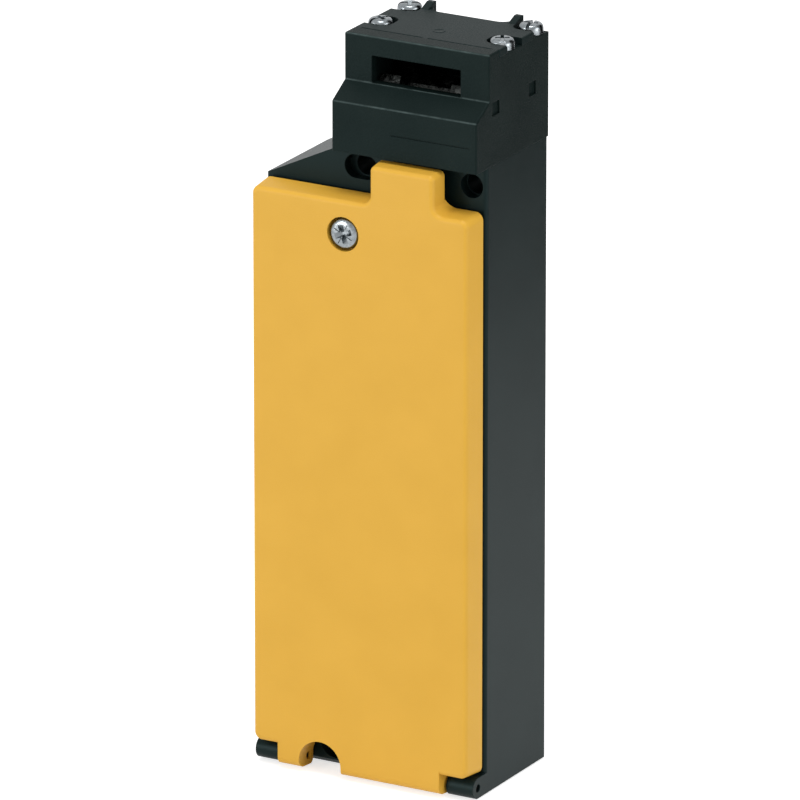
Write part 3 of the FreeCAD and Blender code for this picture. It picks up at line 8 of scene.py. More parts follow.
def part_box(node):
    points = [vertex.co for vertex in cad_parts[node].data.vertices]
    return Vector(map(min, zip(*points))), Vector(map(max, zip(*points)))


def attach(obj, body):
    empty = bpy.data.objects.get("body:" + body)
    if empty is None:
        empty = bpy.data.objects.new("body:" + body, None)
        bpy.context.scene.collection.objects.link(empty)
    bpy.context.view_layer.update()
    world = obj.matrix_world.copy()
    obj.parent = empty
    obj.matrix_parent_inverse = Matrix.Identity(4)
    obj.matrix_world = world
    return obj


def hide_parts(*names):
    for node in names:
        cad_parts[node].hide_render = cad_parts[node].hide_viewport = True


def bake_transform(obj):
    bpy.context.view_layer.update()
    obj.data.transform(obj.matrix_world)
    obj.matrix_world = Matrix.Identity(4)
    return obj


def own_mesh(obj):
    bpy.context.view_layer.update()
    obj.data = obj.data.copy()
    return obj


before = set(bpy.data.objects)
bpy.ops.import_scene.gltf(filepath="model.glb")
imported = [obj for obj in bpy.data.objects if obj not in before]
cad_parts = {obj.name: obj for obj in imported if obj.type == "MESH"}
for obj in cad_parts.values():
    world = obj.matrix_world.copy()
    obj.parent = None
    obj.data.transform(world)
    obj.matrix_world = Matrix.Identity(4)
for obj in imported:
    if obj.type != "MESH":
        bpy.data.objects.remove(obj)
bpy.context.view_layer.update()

# ---------------------------------------------------------------- moulded base
# The base is moulded from black glass-filled plastic in one tool with its screw bosses and hinge
# barrels.  Its faces come off a lightly eroded steel, so they are satin with a very fine grain.

MM = 0.001
EDGE_ROUND = 0.22*MM        # the radius that a moulding tool leaves on an outer edge
CLOUDS = 60                 # slow changes of tone, per metre
NOISE_LOW, NOISE_HIGH = 0.3, 0.7     # the span that smooth noise keeps to
NOISE_ROUGHNESS = 0.55


def finish_nodes(material):
    """The node tree, its principled shader and a place to read the object's own coordinates."""
    material.use_nodes = True
    tree = material.node_tree
    shader = tree.nodes["Principled BSDF"]
    coords = tree.nodes.new("ShaderNodeTexCoord")
    return tree, shader, coords.outputs["Object"]


def grain(tree, coords, scale, detail=4.0):
    """Even noise over the surface at so many grains per metre."""
    noise = tree.nodes.new("ShaderNodeTexNoise")
    noise.inputs["Scale"].default_value = scale
    noise.inputs["Detail"].default_value = detail
    noise.inputs["Roughness"].default_value = NOISE_ROUGHNESS
    tree.links.new(coords, noise.inputs["Vector"])
    return noise.outputs["Fac"]


def between(tree, factor, low, high, start=NOISE_LOW, end=NOISE_HIGH):
    """A value that goes from low to high as the factor goes from start to end."""
    span = tree.nodes.new("ShaderNodeMapRange")
    span.inputs["From Min"].default_value = start
    span.inputs["From Max"].default_value = end
    span.inputs["To Min"].default_value = low
    span.inputs["To Max"].default_value = high
    tree.links.new(factor, span.inputs["Value"])
    return span.outputs["Result"]


def tint(tree, factor, dark, light):
    """A colour that goes from dark to light with the factor."""
    mix = tree.nodes.new("ShaderNodeMix")
    mix.data_type = "RGBA"
    mix.inputs["A"].default_value = (*dark, 1)
    mix.inputs["B"].default_value = (*light, 1)
    tree.links.new(factor, mix.inputs["Factor"])
    return mix.outputs["Result"]


def relief(tree, shader, height, distance, edge=None):
    """Raise the surface by a height map over a distance in metres, and soften its sharp edges."""
    bump = tree.nodes.new("ShaderNodeBump")
    bump.inputs["Distance"].default_value = distance
    tree.links.new(height, bump.inputs["Height"])
    if edge:
        round_edge = tree.nodes.new("ShaderNodeBevel")
        round_edge.inputs["Radius"].default_value = edge
        tree.links.new(round_edge.outputs["Normal"], bump.inputs["Normal"])
    tree.links.new(bump.outputs["Normal"], shader.inputs["Normal"])


def moulded(name, dark, light, gloss, rough, grains, depth, edge=EDGE_ROUND, sheen=(1, 1, 1)):
    """A moulded plastic between two tones, with so many grains per metre of so much depth."""
    material = bpy.data.materials.new(name)
    tree, shader, coords = finish_nodes(material)
    shader.inputs["Specular IOR Level"].default_value = gloss
    shader.inputs["Specular Tint"].default_value = (*sheen, 1)
    drift = between(tree, grain(tree, coords, CLOUDS, detail=2), 0, 1)
    tree.links.new(tint(tree, drift, dark, light), shader.inputs["Base Color"])
    fine = grain(tree, coords, grains, detail=5)
    tree.links.new(between(tree, fine, rough[0], rough[1]), shader.inputs["Roughness"])
    relief(tree, shader, fine, depth, edge)
    return material


def dress(material, *names):
    """Give a material to CAD nodes, in place of their plain one."""
    for name in names:
        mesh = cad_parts[name].data
        mesh.materials.clear()
        mesh.materials.append(material)


BLACK_SHEEN = (0.72, 1, 0.99)        # the cool cast of the light that black plastic sends back

base_black = moulded("base_black", dark=(0.0035, 0.0085, 0.0085), light=(0.0055, 0.0115, 0.0115),
                     gloss=0.12, rough=(0.34, 0.46), grains=4200, depth=0.03*MM,
                     sheen=BLACK_SHEEN)
dress(base_black, "housing_base")

# ---------------------------------------------------------------- hinged cover
# The cover is moulded in signal yellow, with drafted sides and a fine satin grain on its face.  It
# turns on the two pins at its foot.

TAB_RIGHT = 9.4*MM          # from the tab's right side to the cover's right side
TAB_WIDTH = 18.2*MM
RELIEF = 2.0*MM             # how much thinner the tab is than the cover
RELIEF_FOOT = 146.9*MM      # where the tab starts to thin, and where it has done so
RELIEF_HEAD = 149.6*MM
TAB_ROUND = 3.0*MM          # how far the rounded roots of the tab reach to its sides
PAST = 1.0*MM               # how far a cutter stands past the face that it cuts
CREASE = 32                 # degrees between faces from which an edge stays sharp
WELD = 0.001*MM             # points closer than this are one point

cover_yellow = moulded("cover_yellow", dark=(0.655, 0.362, 0.036), light=(0.685, 0.382, 0.041),
                       gloss=0.3, rough=(0.42, 0.56), grains=2600, depth=0.04*MM, edge=None)


def piece(name, mesh, material):
    """A finished mesh as a piece of its own, smooth except across its sharp edges."""
    mesh.shade_smooth()
    mesh.set_sharp_from_angle(angle=math.radians(CREASE))
    mesh.materials.clear()
    mesh.materials.append(material)
    thing = bpy.data.objects.new(name, mesh)
    bpy.context.scene.collection.objects.link(thing)
    return thing


def carved(mesh, *cutters):
    """The mesh with each cutter taken away from it."""
    for cutter in cutters:
        body = bpy.data.objects.new("cut_body", mesh)
        tool = bpy.data.objects.new("cut_tool", cutter)
        for thing in (body, tool):
            bpy.context.scene.collection.objects.link(thing)
        cut = body.modifiers.new("cut", "BOOLEAN")
        cut.operation = "DIFFERENCE"
        cut.solver = "EXACT"
        cut.object = tool
        seen = body.evaluated_get(bpy.context.evaluated_depsgraph_get())
        result = bpy.data.meshes.new_from_object(seen)
        for thing in (body, tool):
            bpy.data.objects.remove(thing)
        mesh = result
    return mesh


def prism(name, outline, low, high):
    """A bar along X with (depth, height) corners, in metres, that go round anticlockwise."""
    count = len(outline)
    points = [(x, depth, height) for x in (low, high) for depth, height in outline]
    faces = [tuple(reversed(range(count))), tuple(range(count, 2*count))]
    for side in range(count):
        after = (side + 1) % count
        faces.append((side, after, count + after, count + side))
    mesh = bpy.data.meshes.new(name)
    mesh.from_pydata(points, [], faces)
    return mesh


def welded(node):
    """A copy of a part's own mesh, with its faces joined along their edges."""
    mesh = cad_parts[node].data.copy()
    work = bmesh.new()
    work.from_mesh(mesh)
    bmesh.ops.remove_doubles(work, verts=work.verts, dist=WELD)
    work.to_mesh(mesh)
    work.free()
    if "custom_normal" in mesh.attributes:
        mesh.attributes.remove(mesh.attributes["custom_normal"])
    return mesh


low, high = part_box("front_cover")
right = high.x - TAB_RIGHT
wedge = prism("tab_wedge", [(high.y, RELIEF_FOOT), (high.y + PAST, RELIEF_FOOT),
                            (high.y + PAST, high.z + PAST), (high.y - RELIEF, high.z + PAST),
                            (high.y - RELIEF, RELIEF_HEAD)],
              right - TAB_WIDTH - TAB_ROUND, right + TAB_ROUND)
shell = piece("cover_shell", carved(welded("front_cover"), wedge), cover_yellow)
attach(shell, "cover")
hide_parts("front_cover")

# ---------------------------------------------------------------- seals
# Nitrile rubber: the ring in the cover's groove, the flat seal under the head and the lip ring
# round the rod.

seal_black = moulded("seal_black", dark=(0.008, 0.008, 0.009), light=(0.014, 0.014, 0.015),
                     gloss=0.12, rough=(0.6, 0.8), grains=2600, depth=0.03*MM, edge=None)
dress(seal_black, "cover_gasket", "face_seal", "rod_seal")

# ---------------------------------------------------------------- cover screw
# A captive M4 pan-head screw of zinc-plated steel with a cross recess and its four witness marks.
# It sinks level with the cover's face, and a pressed washer keeps it in the cover.

FINE = 64                   # flats round a turned head
ARMS = 4                    # arms of a cross recess
ABOVE = 0.3                 # how far a recess's cutter stands above the head, in millimetres
TIP_IN, TIP_UP = 0.35, 0.4  # the chamfer at a screw's tip
BREAK = 0.12                # the broken edge under a pan head
PAN_ROUND = ((1, 0.42), (0.99, 0.56), (0.965, 0.69), (0.92, 0.8), (0.86, 0.88), (0.78, 0.94),
             (0.66, 0.98), (0.5, 1))         # a pan head's rim, as shares of its radius and height


def metal(name, dark, light, rough, grains, depth):
    """A metal between two tones, its gloss and its height changing so many times per metre."""
    material = bpy.data.materials.new(name)
    tree, shader, coords = finish_nodes(material)
    shader.inputs["Metallic"].default_value = 1
    cloud = grain(tree, coords, grains)
    tree.links.new(tint(tree, between(tree, cloud, 0, 1), dark, light), shader.inputs["Base Color"])
    tree.links.new(between(tree, cloud, rough[0], rough[1]), shader.inputs["Roughness"])
    relief(tree, shader, cloud, depth)
    return material


def turned(name, outline):
    """A body turned about Z from (radius, height) points in millimetres, from pole to pole."""
    points = [(0, 0, outline[0][1]*MM)]
    for radius, height in outline[1:-1]:
        for side in range(FINE):
            angle = math.tau*side/FINE
            points.append((radius*MM*math.cos(angle), radius*MM*math.sin(angle), height*MM))
    points.append((0, 0, outline[-1][1]*MM))
    rings = len(outline) - 2
    last = len(points) - 1
    faces = []
    for side in range(FINE):
        after = (side + 1) % FINE
        faces.append((0, 1 + side, 1 + after))
        for ring in range(rings - 1):
            low = 1 + ring*FINE
            high = low + FINE
            faces.append((low + side, high + side, high + after, low + after))
        top = 1 + (rings - 1)*FINE
        faces.append((top + side, last, top + after))
    mesh = bpy.data.meshes.new(name)
    mesh.from_pydata(points, [], faces)
    return mesh


def bar_star(name, top, foot, high, low):
    """A cutter: crossed bars, given as (half length, half width) above and below."""
    points = []
    for (length, width), height in ((foot, low), (top, high)):
        for arm in range(ARMS):
            turn = math.tau*arm/ARMS
            for along, across in ((width, -width), (length, -width), (length, width)):
                points.append((math.cos(turn)*along*MM - math.sin(turn)*across*MM,
                               math.sin(turn)*along*MM + math.cos(turn)*across*MM, height*MM))
    around = 3*ARMS
    faces = [tuple(reversed(range(around))), tuple(range(around, 2*around))]
    for side in range(around):
        after = (side + 1) % around
        faces.append((side, after, around + after, around + side))
    mesh = bpy.data.meshes.new(name)
    mesh.from_pydata(points, [], faces)
    return mesh


def plank(name, half_length, half_width, high, low, turn=0.0):
    """A cutter: one straight bar across the middle, for a slot or a scribed mark."""
    points = []
    for height in (low, high):
        for along, across in ((-1, -1), (1, -1), (1, 1), (-1, 1)):
            x, y = along*half_length*MM, across*half_width*MM
            points.append((math.cos(turn)*x - math.sin(turn)*y,
                           math.sin(turn)*x + math.cos(turn)*y, height*MM))
    mesh = bpy.data.meshes.new(name)
    mesh.from_pydata(points, [], [(3, 2, 1, 0), (4, 5, 6, 7), (0, 1, 5, 4), (1, 2, 6, 5),
                                  (2, 3, 7, 6), (3, 0, 4, 7)])
    return mesh


def pan_head(name, head, height, shank, length):
    """A pan-head screw that stands on its seat at height 0, its shank below."""
    dome = [(head*out, height*up) for out, up in PAN_ROUND]
    outline = [(0, -length), (shank - TIP_IN, -length), (shank, TIP_UP - length), (shank, 0),
               (head - BREAK, 0), (head, BREAK), *dome, (0, height)]
    return turned(name, outline)


TO_FRONT = Matrix.Rotation(math.pi/2, 4, "X")      # a head that stood up now faces the front


def fastened(name, mesh, facing, places, turns):
    """Copies of one screw in a single mesh, each at its place and with its own turn."""
    points, faces = [], []
    for place, turn in zip(places, turns):
        move = Matrix.Translation(place) @ facing @ Matrix.Rotation(math.radians(turn), 4, "Z")
        start = len(points)
        points.extend(move @ vertex.co for vertex in mesh.vertices)
        faces.extend(tuple(start + corner for corner in face.vertices) for face in mesh.polygons)
    whole = bpy.data.meshes.new(name)
    whole.from_pydata(points, [], faces)
    return whole


COVER_HEAD = 2.6            # how far the head of the cover's screw stands on its seat
COVER_SHANK = 1.95          # its shank's radius
COVER_PLAY = 0.05           # how much smaller its head is than the room for it
COVER_TURN = 18             # degrees by which its cross stands off the upright
CROSS_DEPTH = 1.3
MARK_DEPTH = 0.35           # depth of the scribed marks between the cross's arms

zinc = metal("zinc", dark=(0.17, 0.19, 0.20), light=(0.29, 0.315, 0.33), rough=(0.14, 0.34),
             grains=1300, depth=0.05*MM)
low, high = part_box("cover_screw")
screw_head = (high.x - low.x)/2/MM
cross = bar_star("cover_cross", top=(2.75, 0.82), foot=(0.85, 0.3), high=COVER_HEAD + ABOVE,
                 low=COVER_HEAD - CROSS_DEPTH)
marks = [plank("cover_mark", half_length=2.7, half_width=0.12, high=COVER_HEAD + ABOVE,
               low=COVER_HEAD - MARK_DEPTH, turn=math.radians(turn)) for turn in (45, 135)]
cap = carved(pan_head("cover_cap", screw_head - COVER_PLAY, COVER_HEAD, COVER_SHANK,
                      (high.y - low.y)/MM - COVER_HEAD), *marks, cross)
place = Vector(((low.x + high.x)/2, low.y + COVER_HEAD*MM, (low.z + high.z)/2))
bolt = piece("cover_bolt", fastened("cover_bolt", cap, TO_FRONT, [place], [COVER_TURN]), zinc)
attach(bolt, "cover")
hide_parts("cover_screw")
dress(zinc, "screw_keeper")

# ---------------------------------------------------------------- hinge pins
# Two steel pins, coloured near black: painted shade for their ends, which sit a little inside the
# barrels.  They are pressed into the base's barrels, and the cover's knuckles turn on them.

pin_painted_shade = metal("pin_painted_shade", dark=(0.008, 0.009, 0.009), light=(0.02, 0.022, 0.022),
                  rough=(0.35, 0.5), grains=1500, depth=0.02*MM)
dress(pin_painted_shade, "hinge_pins")

# ---------------------------------------------------------------- operating head
# The head is moulded in the same black plastic as the base, from a coarser eroded tool.  Screws
# from inside the base hold it, and a highlight is painted in uneven patches along the long edges of
# its front.

HEAD_STEP = 12.5*MM         # from the head's foot to the lower edge of its slope
HEAD_SLOPE = 3.7*MM         # and from there up to the slope's upper edge
HEAD_SET_BACK = 6.2*MM      # how far the face stands behind the head's foot
HIGHLIGHT_REACH = 0.34*MM               # how far from an edge the painted highlight reaches
HIGHLIGHT_CORE = 0.2              # the share of that distance where the painted highlight is full
HIGHLIGHT_PATCHES = 420           # patches of the painted highlight, per metre
HIGHLIGHT_LEAST = 0.35            # the share of the painted highlight that is left between the patches
ROUNDED = 0.15*MM           # how far a rounded edge stands inside its sharp corner

# a little darker than the base's black: painted shade for the head's less lit front
head_shaded_black = moulded("head_shaded_black", dark=(0.0030, 0.0070, 0.0066), light=(0.0060, 0.0110, 0.0102),
                     gloss=0.085, rough=(0.42, 0.58), grains=2400, depth=0.08*MM,
                     sheen=BLACK_SHEEN)


def painted_edge_highlight(material, lines, colour):
    """Paint a highlight on a moulding along edges that run from side to side, given by their depth
    and height.
    """
    tree = material.node_tree
    shader = tree.nodes["Principled BSDF"]
    coords = next(node for node in tree.nodes if node.type == "TEX_COORD").outputs["Object"]
    plain_colour = shader.inputs["Base Color"].links[0].from_socket
    flat = tree.nodes.new("ShaderNodeVectorMath")
    flat.operation = "MULTIPLY"
    flat.inputs[1].default_value = (0, 1, 1)
    tree.links.new(coords, flat.inputs[0])
    patchy = between(tree, grain(tree, coords, HIGHLIGHT_PATCHES), HIGHLIGHT_LEAST, 1)
    for depth, height in lines:
        away = tree.nodes.new("ShaderNodeVectorMath")
        away.operation = "DISTANCE"
        away.inputs[1].default_value = (0, depth, height)
        tree.links.new(flat.outputs["Vector"], away.inputs[0])
        near = between(tree, away.outputs["Value"], 1, 0, HIGHLIGHT_CORE*HIGHLIGHT_REACH, HIGHLIGHT_REACH)
        highlit = tree.nodes.new("ShaderNodeMath")
        highlit.operation = "MULTIPLY"
        tree.links.new(near, highlit.inputs[0])
        tree.links.new(patchy, highlit.inputs[1])
        mix = tree.nodes.new("ShaderNodeMix")
        mix.data_type = "RGBA"
        mix.inputs["B"].default_value = (*colour, 1)
        tree.links.new(plain_colour, mix.inputs["A"])
        tree.links.new(highlit.outputs["Value"], mix.inputs["Factor"])
        plain_colour = mix.outputs["Result"]
    tree.links.new(plain_colour, shader.inputs["Base Color"])


low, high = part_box("head_housing")
slope_foot = low.z + HEAD_STEP
face = low.y + HEAD_SET_BACK
# a painted highlight along the slope's two edges and the face's top edge, in uneven patches
painted_edge_highlight(head_shaded_black, lines=[(low.y, slope_foot), (face, slope_foot + HEAD_SLOPE),
                          (face + ROUNDED, high.z - ROUNDED)], colour=(0.060, 0.082, 0.080))
dress(head_shaded_black, "head_housing")

# ---------------------------------------------------------------- lid of the head
# The lid is moulded too, and closes the cam's chamber from above.  The ejector that pushed it out
# of its tool has left a faint ring on its top.

EJECTOR = 1.5               # radius of the mark that the ejector leaves, in millimetres
MARK_RISE = 0.07            # height of its ring, and the ring's width at its top and foot
MARK_TOP = 0.2
MARK_FOOT = 0.35
MARK_FLAT = 0.01            # how far the flat inside the ring stands over the plate
MARK_SUNK = 0.2             # how far the mark goes into the plate
MARK_X, MARK_Y = 19.2*MM, 7.0*MM     # its place from the plate's left and front edges
LUG = 1.2*MM                # how far the two lugs stand over the plate

# a little lighter than the base's black: painted light for the lid's top, which faces the top lamp
lid_lit_black = moulded("lid_lit_black", dark=(0.0050, 0.0100, 0.0100), light=(0.0080, 0.0140, 0.0140),
                    gloss=0.09, rough=(0.40, 0.54), grains=2400, depth=0.05*MM,
                    sheen=BLACK_SHEEN)
dress(lid_lit_black, "head_lid")
low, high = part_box("head_lid")
witness = piece("ejector_mark", turned("ejector_mark", [
    (0, -MARK_SUNK), (EJECTOR + 0.1, -MARK_SUNK), (EJECTOR + 0.1, 0), (EJECTOR, MARK_RISE),
    (EJECTOR - MARK_TOP, MARK_RISE), (EJECTOR - MARK_FOOT, MARK_FLAT), (0, MARK_FLAT)]), lid_lit_black)
witness.data.transform(Matrix.Translation((low.x + MARK_X, low.y + MARK_Y, high.z - LUG)))
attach(witness, "root")

# ---------------------------------------------------------------- screws of the lid
# Four M3 pan-head screws of zinc-plated steel.  Each has a slot across its cross recess, and they
# were driven home by hand, so no two slots line up.

LID_HEAD = 2.6              # height, head radius and shank radius, in millimetres
LID_RADIUS = 3.0
LID_SHANK = 1.5
LID_SEAT = 2.0              # how far a seat lies under the screws' highest point
LID_CROSS_DEPTH = 1.5
LID_SLOT_DEPTH = 1.05
LID_TURNS = (60, 119, 28, 100)       # front left, front right, back left, back right

low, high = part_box("lid_screws")
inset = LID_RADIUS*MM
corners = [Vector((x, y, high.z - LID_SEAT*MM)) for y in (low.y + inset, high.y - inset)
           for x in (low.x + inset, high.x - inset)]
cross = bar_star("lid_cross", top=(2.0, 0.55), foot=(0.7, 0.3), high=LID_HEAD + ABOVE,
                 low=LID_HEAD - LID_CROSS_DEPTH)
slot = plank("lid_slot", half_length=3.5, half_width=0.42, high=LID_HEAD + ABOVE,
             low=LID_HEAD - LID_SLOT_DEPTH)
cap = carved(pan_head("lid_cap", LID_RADIUS, LID_HEAD, LID_SHANK, (high.z - low.z)/MM - LID_SEAT),
             slot, cross)
bolts = piece("lid_bolts", fastened("lid_bolts", cap, Matrix(), corners, LID_TURNS), zinc)
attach(bolts, "root")
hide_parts("lid_screws")

# ---------------------------------------------------------------- cam, rod and bush
# The cam is hardened steel, coloured nearly black with lighter patches, and turns on a ground axle.
# The rod under it is ground too, and slides in a brass bush that is pressed into the base's roof.

near_black_steel = metal("near_black_steel", dark=(0.003, 0.0035, 0.0035), light=(0.045, 0.048, 0.046),
                      rough=(0.08, 0.42), grains=620, depth=0.3*MM)
dress(near_black_steel, "cam_wheel")
ground_steel = metal("ground_steel", dark=(0.24, 0.245, 0.245), light=(0.36, 0.365, 0.365),
                     rough=(0.2, 0.35), grains=1200, depth=0.01*MM)
dress(ground_steel, "cam_axle", "driving_rod")
brass = metal("brass", dark=(0.38, 0.26, 0.10), light=(0.50, 0.36, 0.15), rough=(0.2, 0.36),
              grains=700, depth=0.02*MM)
dress(brass, "rod_bush")

# ---------------------------------------------------------------- screws inside
# Zinc-plated pan-head screws.  Those that face the cover hold the solenoid and the contact block
# or clamp the wires, and have a cross recess.  Four more hold the head from below.

RECESS_TOP = (0.62, 0.17)   # the cross at the top of the head and at its foot, as shares of the
RECESS_FOOT = (0.25, 0.1)   # head's radius
RECESS_LEFT = 0.35          # the share of the head's height that is left under the cross
SLACK = 0.02                # how much smaller a screw is than its room
FIRST_TURN, TURN_STEP, QUARTER = 11, 37, 90  # how the crosses stand, in degrees


def facing_cover(name, node, columns, rows, head, height, shank):
    """Screws in even columns and rows, their heads towards the cover, sized in millimetres."""
    low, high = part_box(node)
    centres = []
    for row in range(rows):
        up = row/(rows - 1) if rows > 1 else 0
        for column in range(columns):
            along = column/(columns - 1)
            centres.append(Vector((low.x + head*MM + along*(high.x - low.x - 2*head*MM),
                                   low.y + height*MM,
                                   low.z + head*MM + up*(high.z - low.z - 2*head*MM))))
    recess = bar_star(name + "_cross", top=[share*head for share in RECESS_TOP],
                      foot=[share*head for share in RECESS_FOOT], high=height + ABOVE,
                      low=RECESS_LEFT*height)
    cap = carved(pan_head(name + "_cap", head - SLACK, height, shank,
                          (high.y - low.y)/MM - height - SLACK), recess)
    turns = [(TURN_STEP*count + FIRST_TURN) % QUARTER for count in range(len(centres))]
    screws = piece(name, fastened(name, cap, TO_FRONT, centres, turns), zinc)
    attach(screws, "root")
    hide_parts(node)


facing_cover("terminal_bolts", "terminal_screws", columns=2, rows=3, head=2.5, height=1.9,
             shank=1.45)
facing_cover("block_bolts", "contact_block_screws", columns=2, rows=1, head=2.6, height=2.1,
             shank=1.45)
facing_cover("solenoid_bolts", "solenoid_screws", columns=2, rows=1, head=2.6, height=2.1,
             shank=1.45)
facing_cover("pole_bolts", "coil_terminal_screws", columns=3, rows=1, head=1.9, height=1.2,
             shank=1.35)
dress(zinc, "head_fixing_screws")

# ---------------------------------------------------------------- solenoid and locking lever
# A frame bent from strip with a riveted core, the bobbin with its taped winding, and the armature
# with its clip and link pin, which turns the locking lever.

strip_steel = metal("strip_steel", dark=(0.20, 0.205, 0.19), light=(0.31, 0.31, 0.285),
                    rough=(0.3, 0.45), grains=400, depth=0.02*MM)
dress(strip_steel, "solenoid_frame", "fixed_core", "armature", "locking_lever")
dress(ground_steel, "link_pin", "lever_pin", "spring_clip")
spool = moulded("spool", dark=(0.62, 0.58, 0.50), light=(0.70, 0.66, 0.58), gloss=0.4,
                rough=(0.4, 0.55), grains=3000, depth=0.03*MM)
dress(spool, "coil_bobbin")
tape = moulded("tape", dark=(0.45, 0.25, 0.03), light=(0.55, 0.33, 0.05), gloss=0.5,
               rough=(0.15, 0.25), grains=800, depth=0.02*MM)
dress(tape, "coil_winding")

# ---------------------------------------------------------------- springs
# Wound from bright hard-drawn wire.  One stands on the solenoid's frame, where the armature
# shortens it when pulled in; the other stands in the contact block and follows the carrier up.
# Here both keep their shape at rest, and neither moves with those parts.

low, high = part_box("armature_spring")
spring = piece("armature_coil", welded("armature_spring"), ground_steel)
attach(spring, "root")
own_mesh(spring)
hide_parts("armature_spring")
low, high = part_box("carrier_spring")
spring = piece("carrier_coil", welded("carrier_spring"), ground_steel)
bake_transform(spring)
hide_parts("carrier_spring")

# ---------------------------------------------------------------- contact block
# A dark moulded block with brass contacts, and the red slider that carries their bridges.  The
# green terminal block below takes the wires of the coil's supply.

block_dark = moulded("block_dark", dark=(0.028, 0.030, 0.034), light=(0.038, 0.041, 0.046),
                     gloss=0.3, rough=(0.4, 0.55), grains=3000, depth=0.03*MM)
dress(block_dark, "contact_block")
slider_red = moulded("slider_red", dark=(0.42, 0.03, 0.02), light=(0.5, 0.045, 0.03), gloss=0.4,
                     rough=(0.35, 0.5), grains=3000, depth=0.03*MM)
dress(slider_red, "contact_carrier")
dress(brass, "fixed_contacts", "contact_bridges", "coil_terminals")
block_green = moulded("block_green", dark=(0.06, 0.16, 0.08), light=(0.08, 0.2, 0.1), gloss=0.4,
                      rough=(0.4, 0.5), grains=3000, depth=0.03*MM)
dress(block_green, "coil_terminal_block")

# ---------------------------------------------------------------- floor, lamps and camera
# A pale floor and soft lamps of a plain studio, and a long lens from high on the right.

FLOOR_HALF = 3.0
FLOOR_DROP = 0.4*MM         # how far the floor lies under the part
PAPER = 0.8                 # how much light the floor sends back
PAPER_SHADES = 30           # slow changes of its tone, per metre, and how strong they are
PAPER_CHANGE = 0.01
PAPER_GLOW = 0.68           # what is added to it where it is seen as the background


def seen_rays(tree):
    """1 for a ray that the lens, a mirror or glass sends out, and 0 for scattered light."""
    path = tree.nodes.new("ShaderNodeLightPath")
    total = path.outputs["Is Camera Ray"]
    for kind in ("Is Glossy Ray", "Is Transmission Ray"):
        add = tree.nodes.new("ShaderNodeMath")
        add.operation = "MAXIMUM"
        tree.links.new(total, add.inputs[0])
        tree.links.new(path.outputs[kind], add.inputs[1])
        total = add.outputs["Value"]
    return total


mesh = bpy.data.meshes.new("floor")
mesh.from_pydata([(-FLOOR_HALF, -FLOOR_HALF, 0), (FLOOR_HALF, -FLOOR_HALF, 0),
                  (FLOOR_HALF, FLOOR_HALF, 0), (-FLOOR_HALF, FLOOR_HALF, 0)], [], [(0, 1, 2, 3)])
floor = bpy.data.objects.new("floor", mesh)
floor.location = (0, 0, -FLOOR_DROP)
bpy.context.scene.collection.objects.link(floor)

paper = bpy.data.materials.new("paper")
tree, shader, coords = finish_nodes(paper)
shade = grain(tree, coords, PAPER_SHADES)
tree.links.new(tint(tree, shade, (PAPER - PAPER_CHANGE,)*3, (PAPER + PAPER_CHANGE,)*3),
               shader.inputs["Base Color"])
shader.inputs["Specular IOR Level"].default_value = 0
shader.inputs["Emission Color"].default_value = (1, 1, 1, 1)
tree.links.new(between(tree, seen_rays(tree), 0, PAPER_GLOW, start=0, end=1),
               shader.inputs["Emission Strength"])
floor.data.materials.append(paper)


def lamp(name, place, target, size, watts):
    """A round soft lamp that faces its target, both in metres."""
    light = bpy.data.lights.new(name, "AREA")
    light.shape = "DISK"
    light.size = size
    light.energy = watts
    thing = bpy.data.objects.new(name, light)
    thing.location = place
    thing.rotation_euler = (Vector(target) - Vector(place)).to_track_quat("-Z", "Y").to_euler()
    bpy.context.scene.collection.objects.link(thing)


MIDDLE = (0, 0, 0.09)       # the middle of the part, and a place in its lower half
LOWER = (0, 0, 0.05)
lamp("key", place=(-0.6, -1.0, 0.26), target=LOWER, size=0.5, watts=5.3)
lamp("side", place=(1.1, -0.1, 0.3), target=MIDDLE, size=0.6, watts=4.0)
lamp("top", place=(0.1, -0.2, 1.3), target=MIDDLE, size=0.6, watts=8)

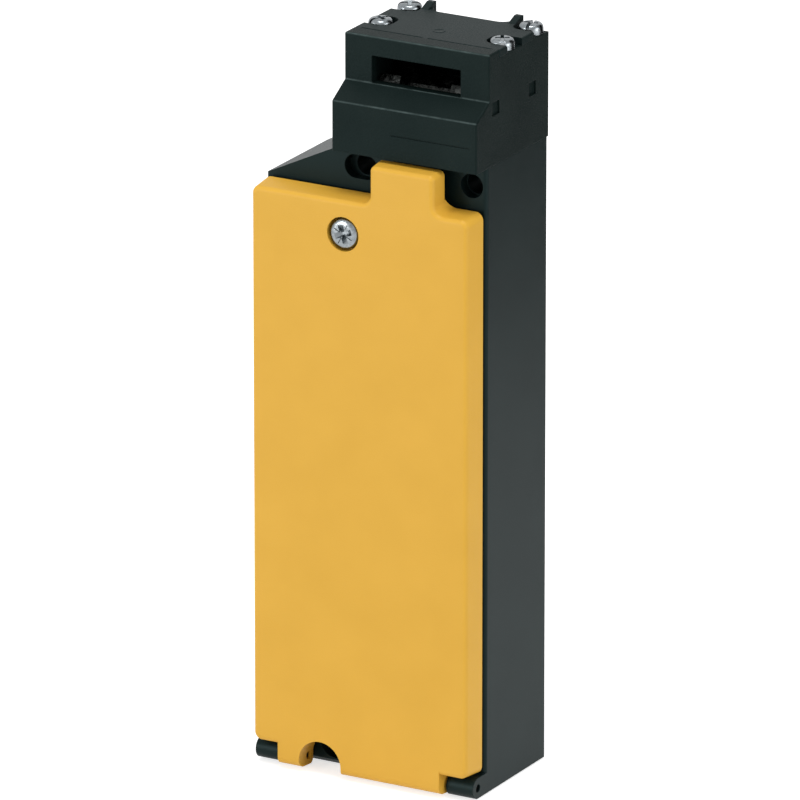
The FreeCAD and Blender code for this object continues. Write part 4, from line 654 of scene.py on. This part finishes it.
CLOTH_THREADS = 500         # threads of the curtain, per metre
CLOTH_DARK, CLOTH_LIGHT = 0.01, 0.02


def curtain(name, middle, half_width, half_height):
    """A dark upright cloth.  Only a shiny surface sees it, and it throws no shadow."""
    across = Vector((-middle.y, middle.x, 0)).normalized()*half_width
    up = Vector((0, 0, half_height))
    mesh = bpy.data.meshes.new(name)
    mesh.from_pydata([middle - across - up, middle + across - up, middle + across + up,
                      middle - across + up], [], [(0, 1, 2, 3)])
    cloth = bpy.data.materials.new(name)
    tree, shader, coords = finish_nodes(cloth)
    weave = between(tree, grain(tree, coords, CLOTH_THREADS), 0, 1)
    tree.links.new(tint(tree, weave, (CLOTH_DARK,)*3, (CLOTH_LIGHT,)*3),
                   shader.inputs["Base Color"])
    shader.inputs["Specular IOR Level"].default_value = 0
    mesh.materials.append(cloth)
    thing = bpy.data.objects.new(name, mesh)
    thing.visible_camera = False
    thing.visible_diffuse = False
    thing.visible_shadow = False
    bpy.context.scene.collection.objects.link(thing)


curtain("curtain", middle=Vector((0.235, 0.27, 0.36)), half_width=0.17, half_height=0.355)

SKY_LIGHT = 0.5             # the light of the room on the part
SKY_SEEN = 1                # and the room itself, as the lens and a mirror see it

world = bpy.data.worlds.new("studio")
world.use_nodes = True
sky = world.node_tree.nodes["Background"]
sky.inputs["Color"].default_value = (1, 1, 1, 1)
tree = world.node_tree
tree.links.new(between(tree, seen_rays(tree), SKY_LIGHT, SKY_SEEN, start=0, end=1),
               sky.inputs["Strength"])
bpy.context.scene.world = world

LOOKING_DOWN = 18.7931      # degrees under the level, and degrees round from the front
LOOKING_LEFT = 29.3857

camera = bpy.data.cameras.new("camera")
camera.lens = 551.56
camera.sensor_width = 36
camera.clip_end = 20
eye = bpy.data.objects.new("camera", camera)
eye.location = (1.36283, -2.41933, 1.03649)
eye.rotation_euler = (math.radians(90 - LOOKING_DOWN), 0, math.radians(LOOKING_LEFT))
bpy.context.scene.collection.objects.link(eye)
bpy.context.scene.camera = eye

bpy.context.scene.view_settings.view_transform = "Standard"
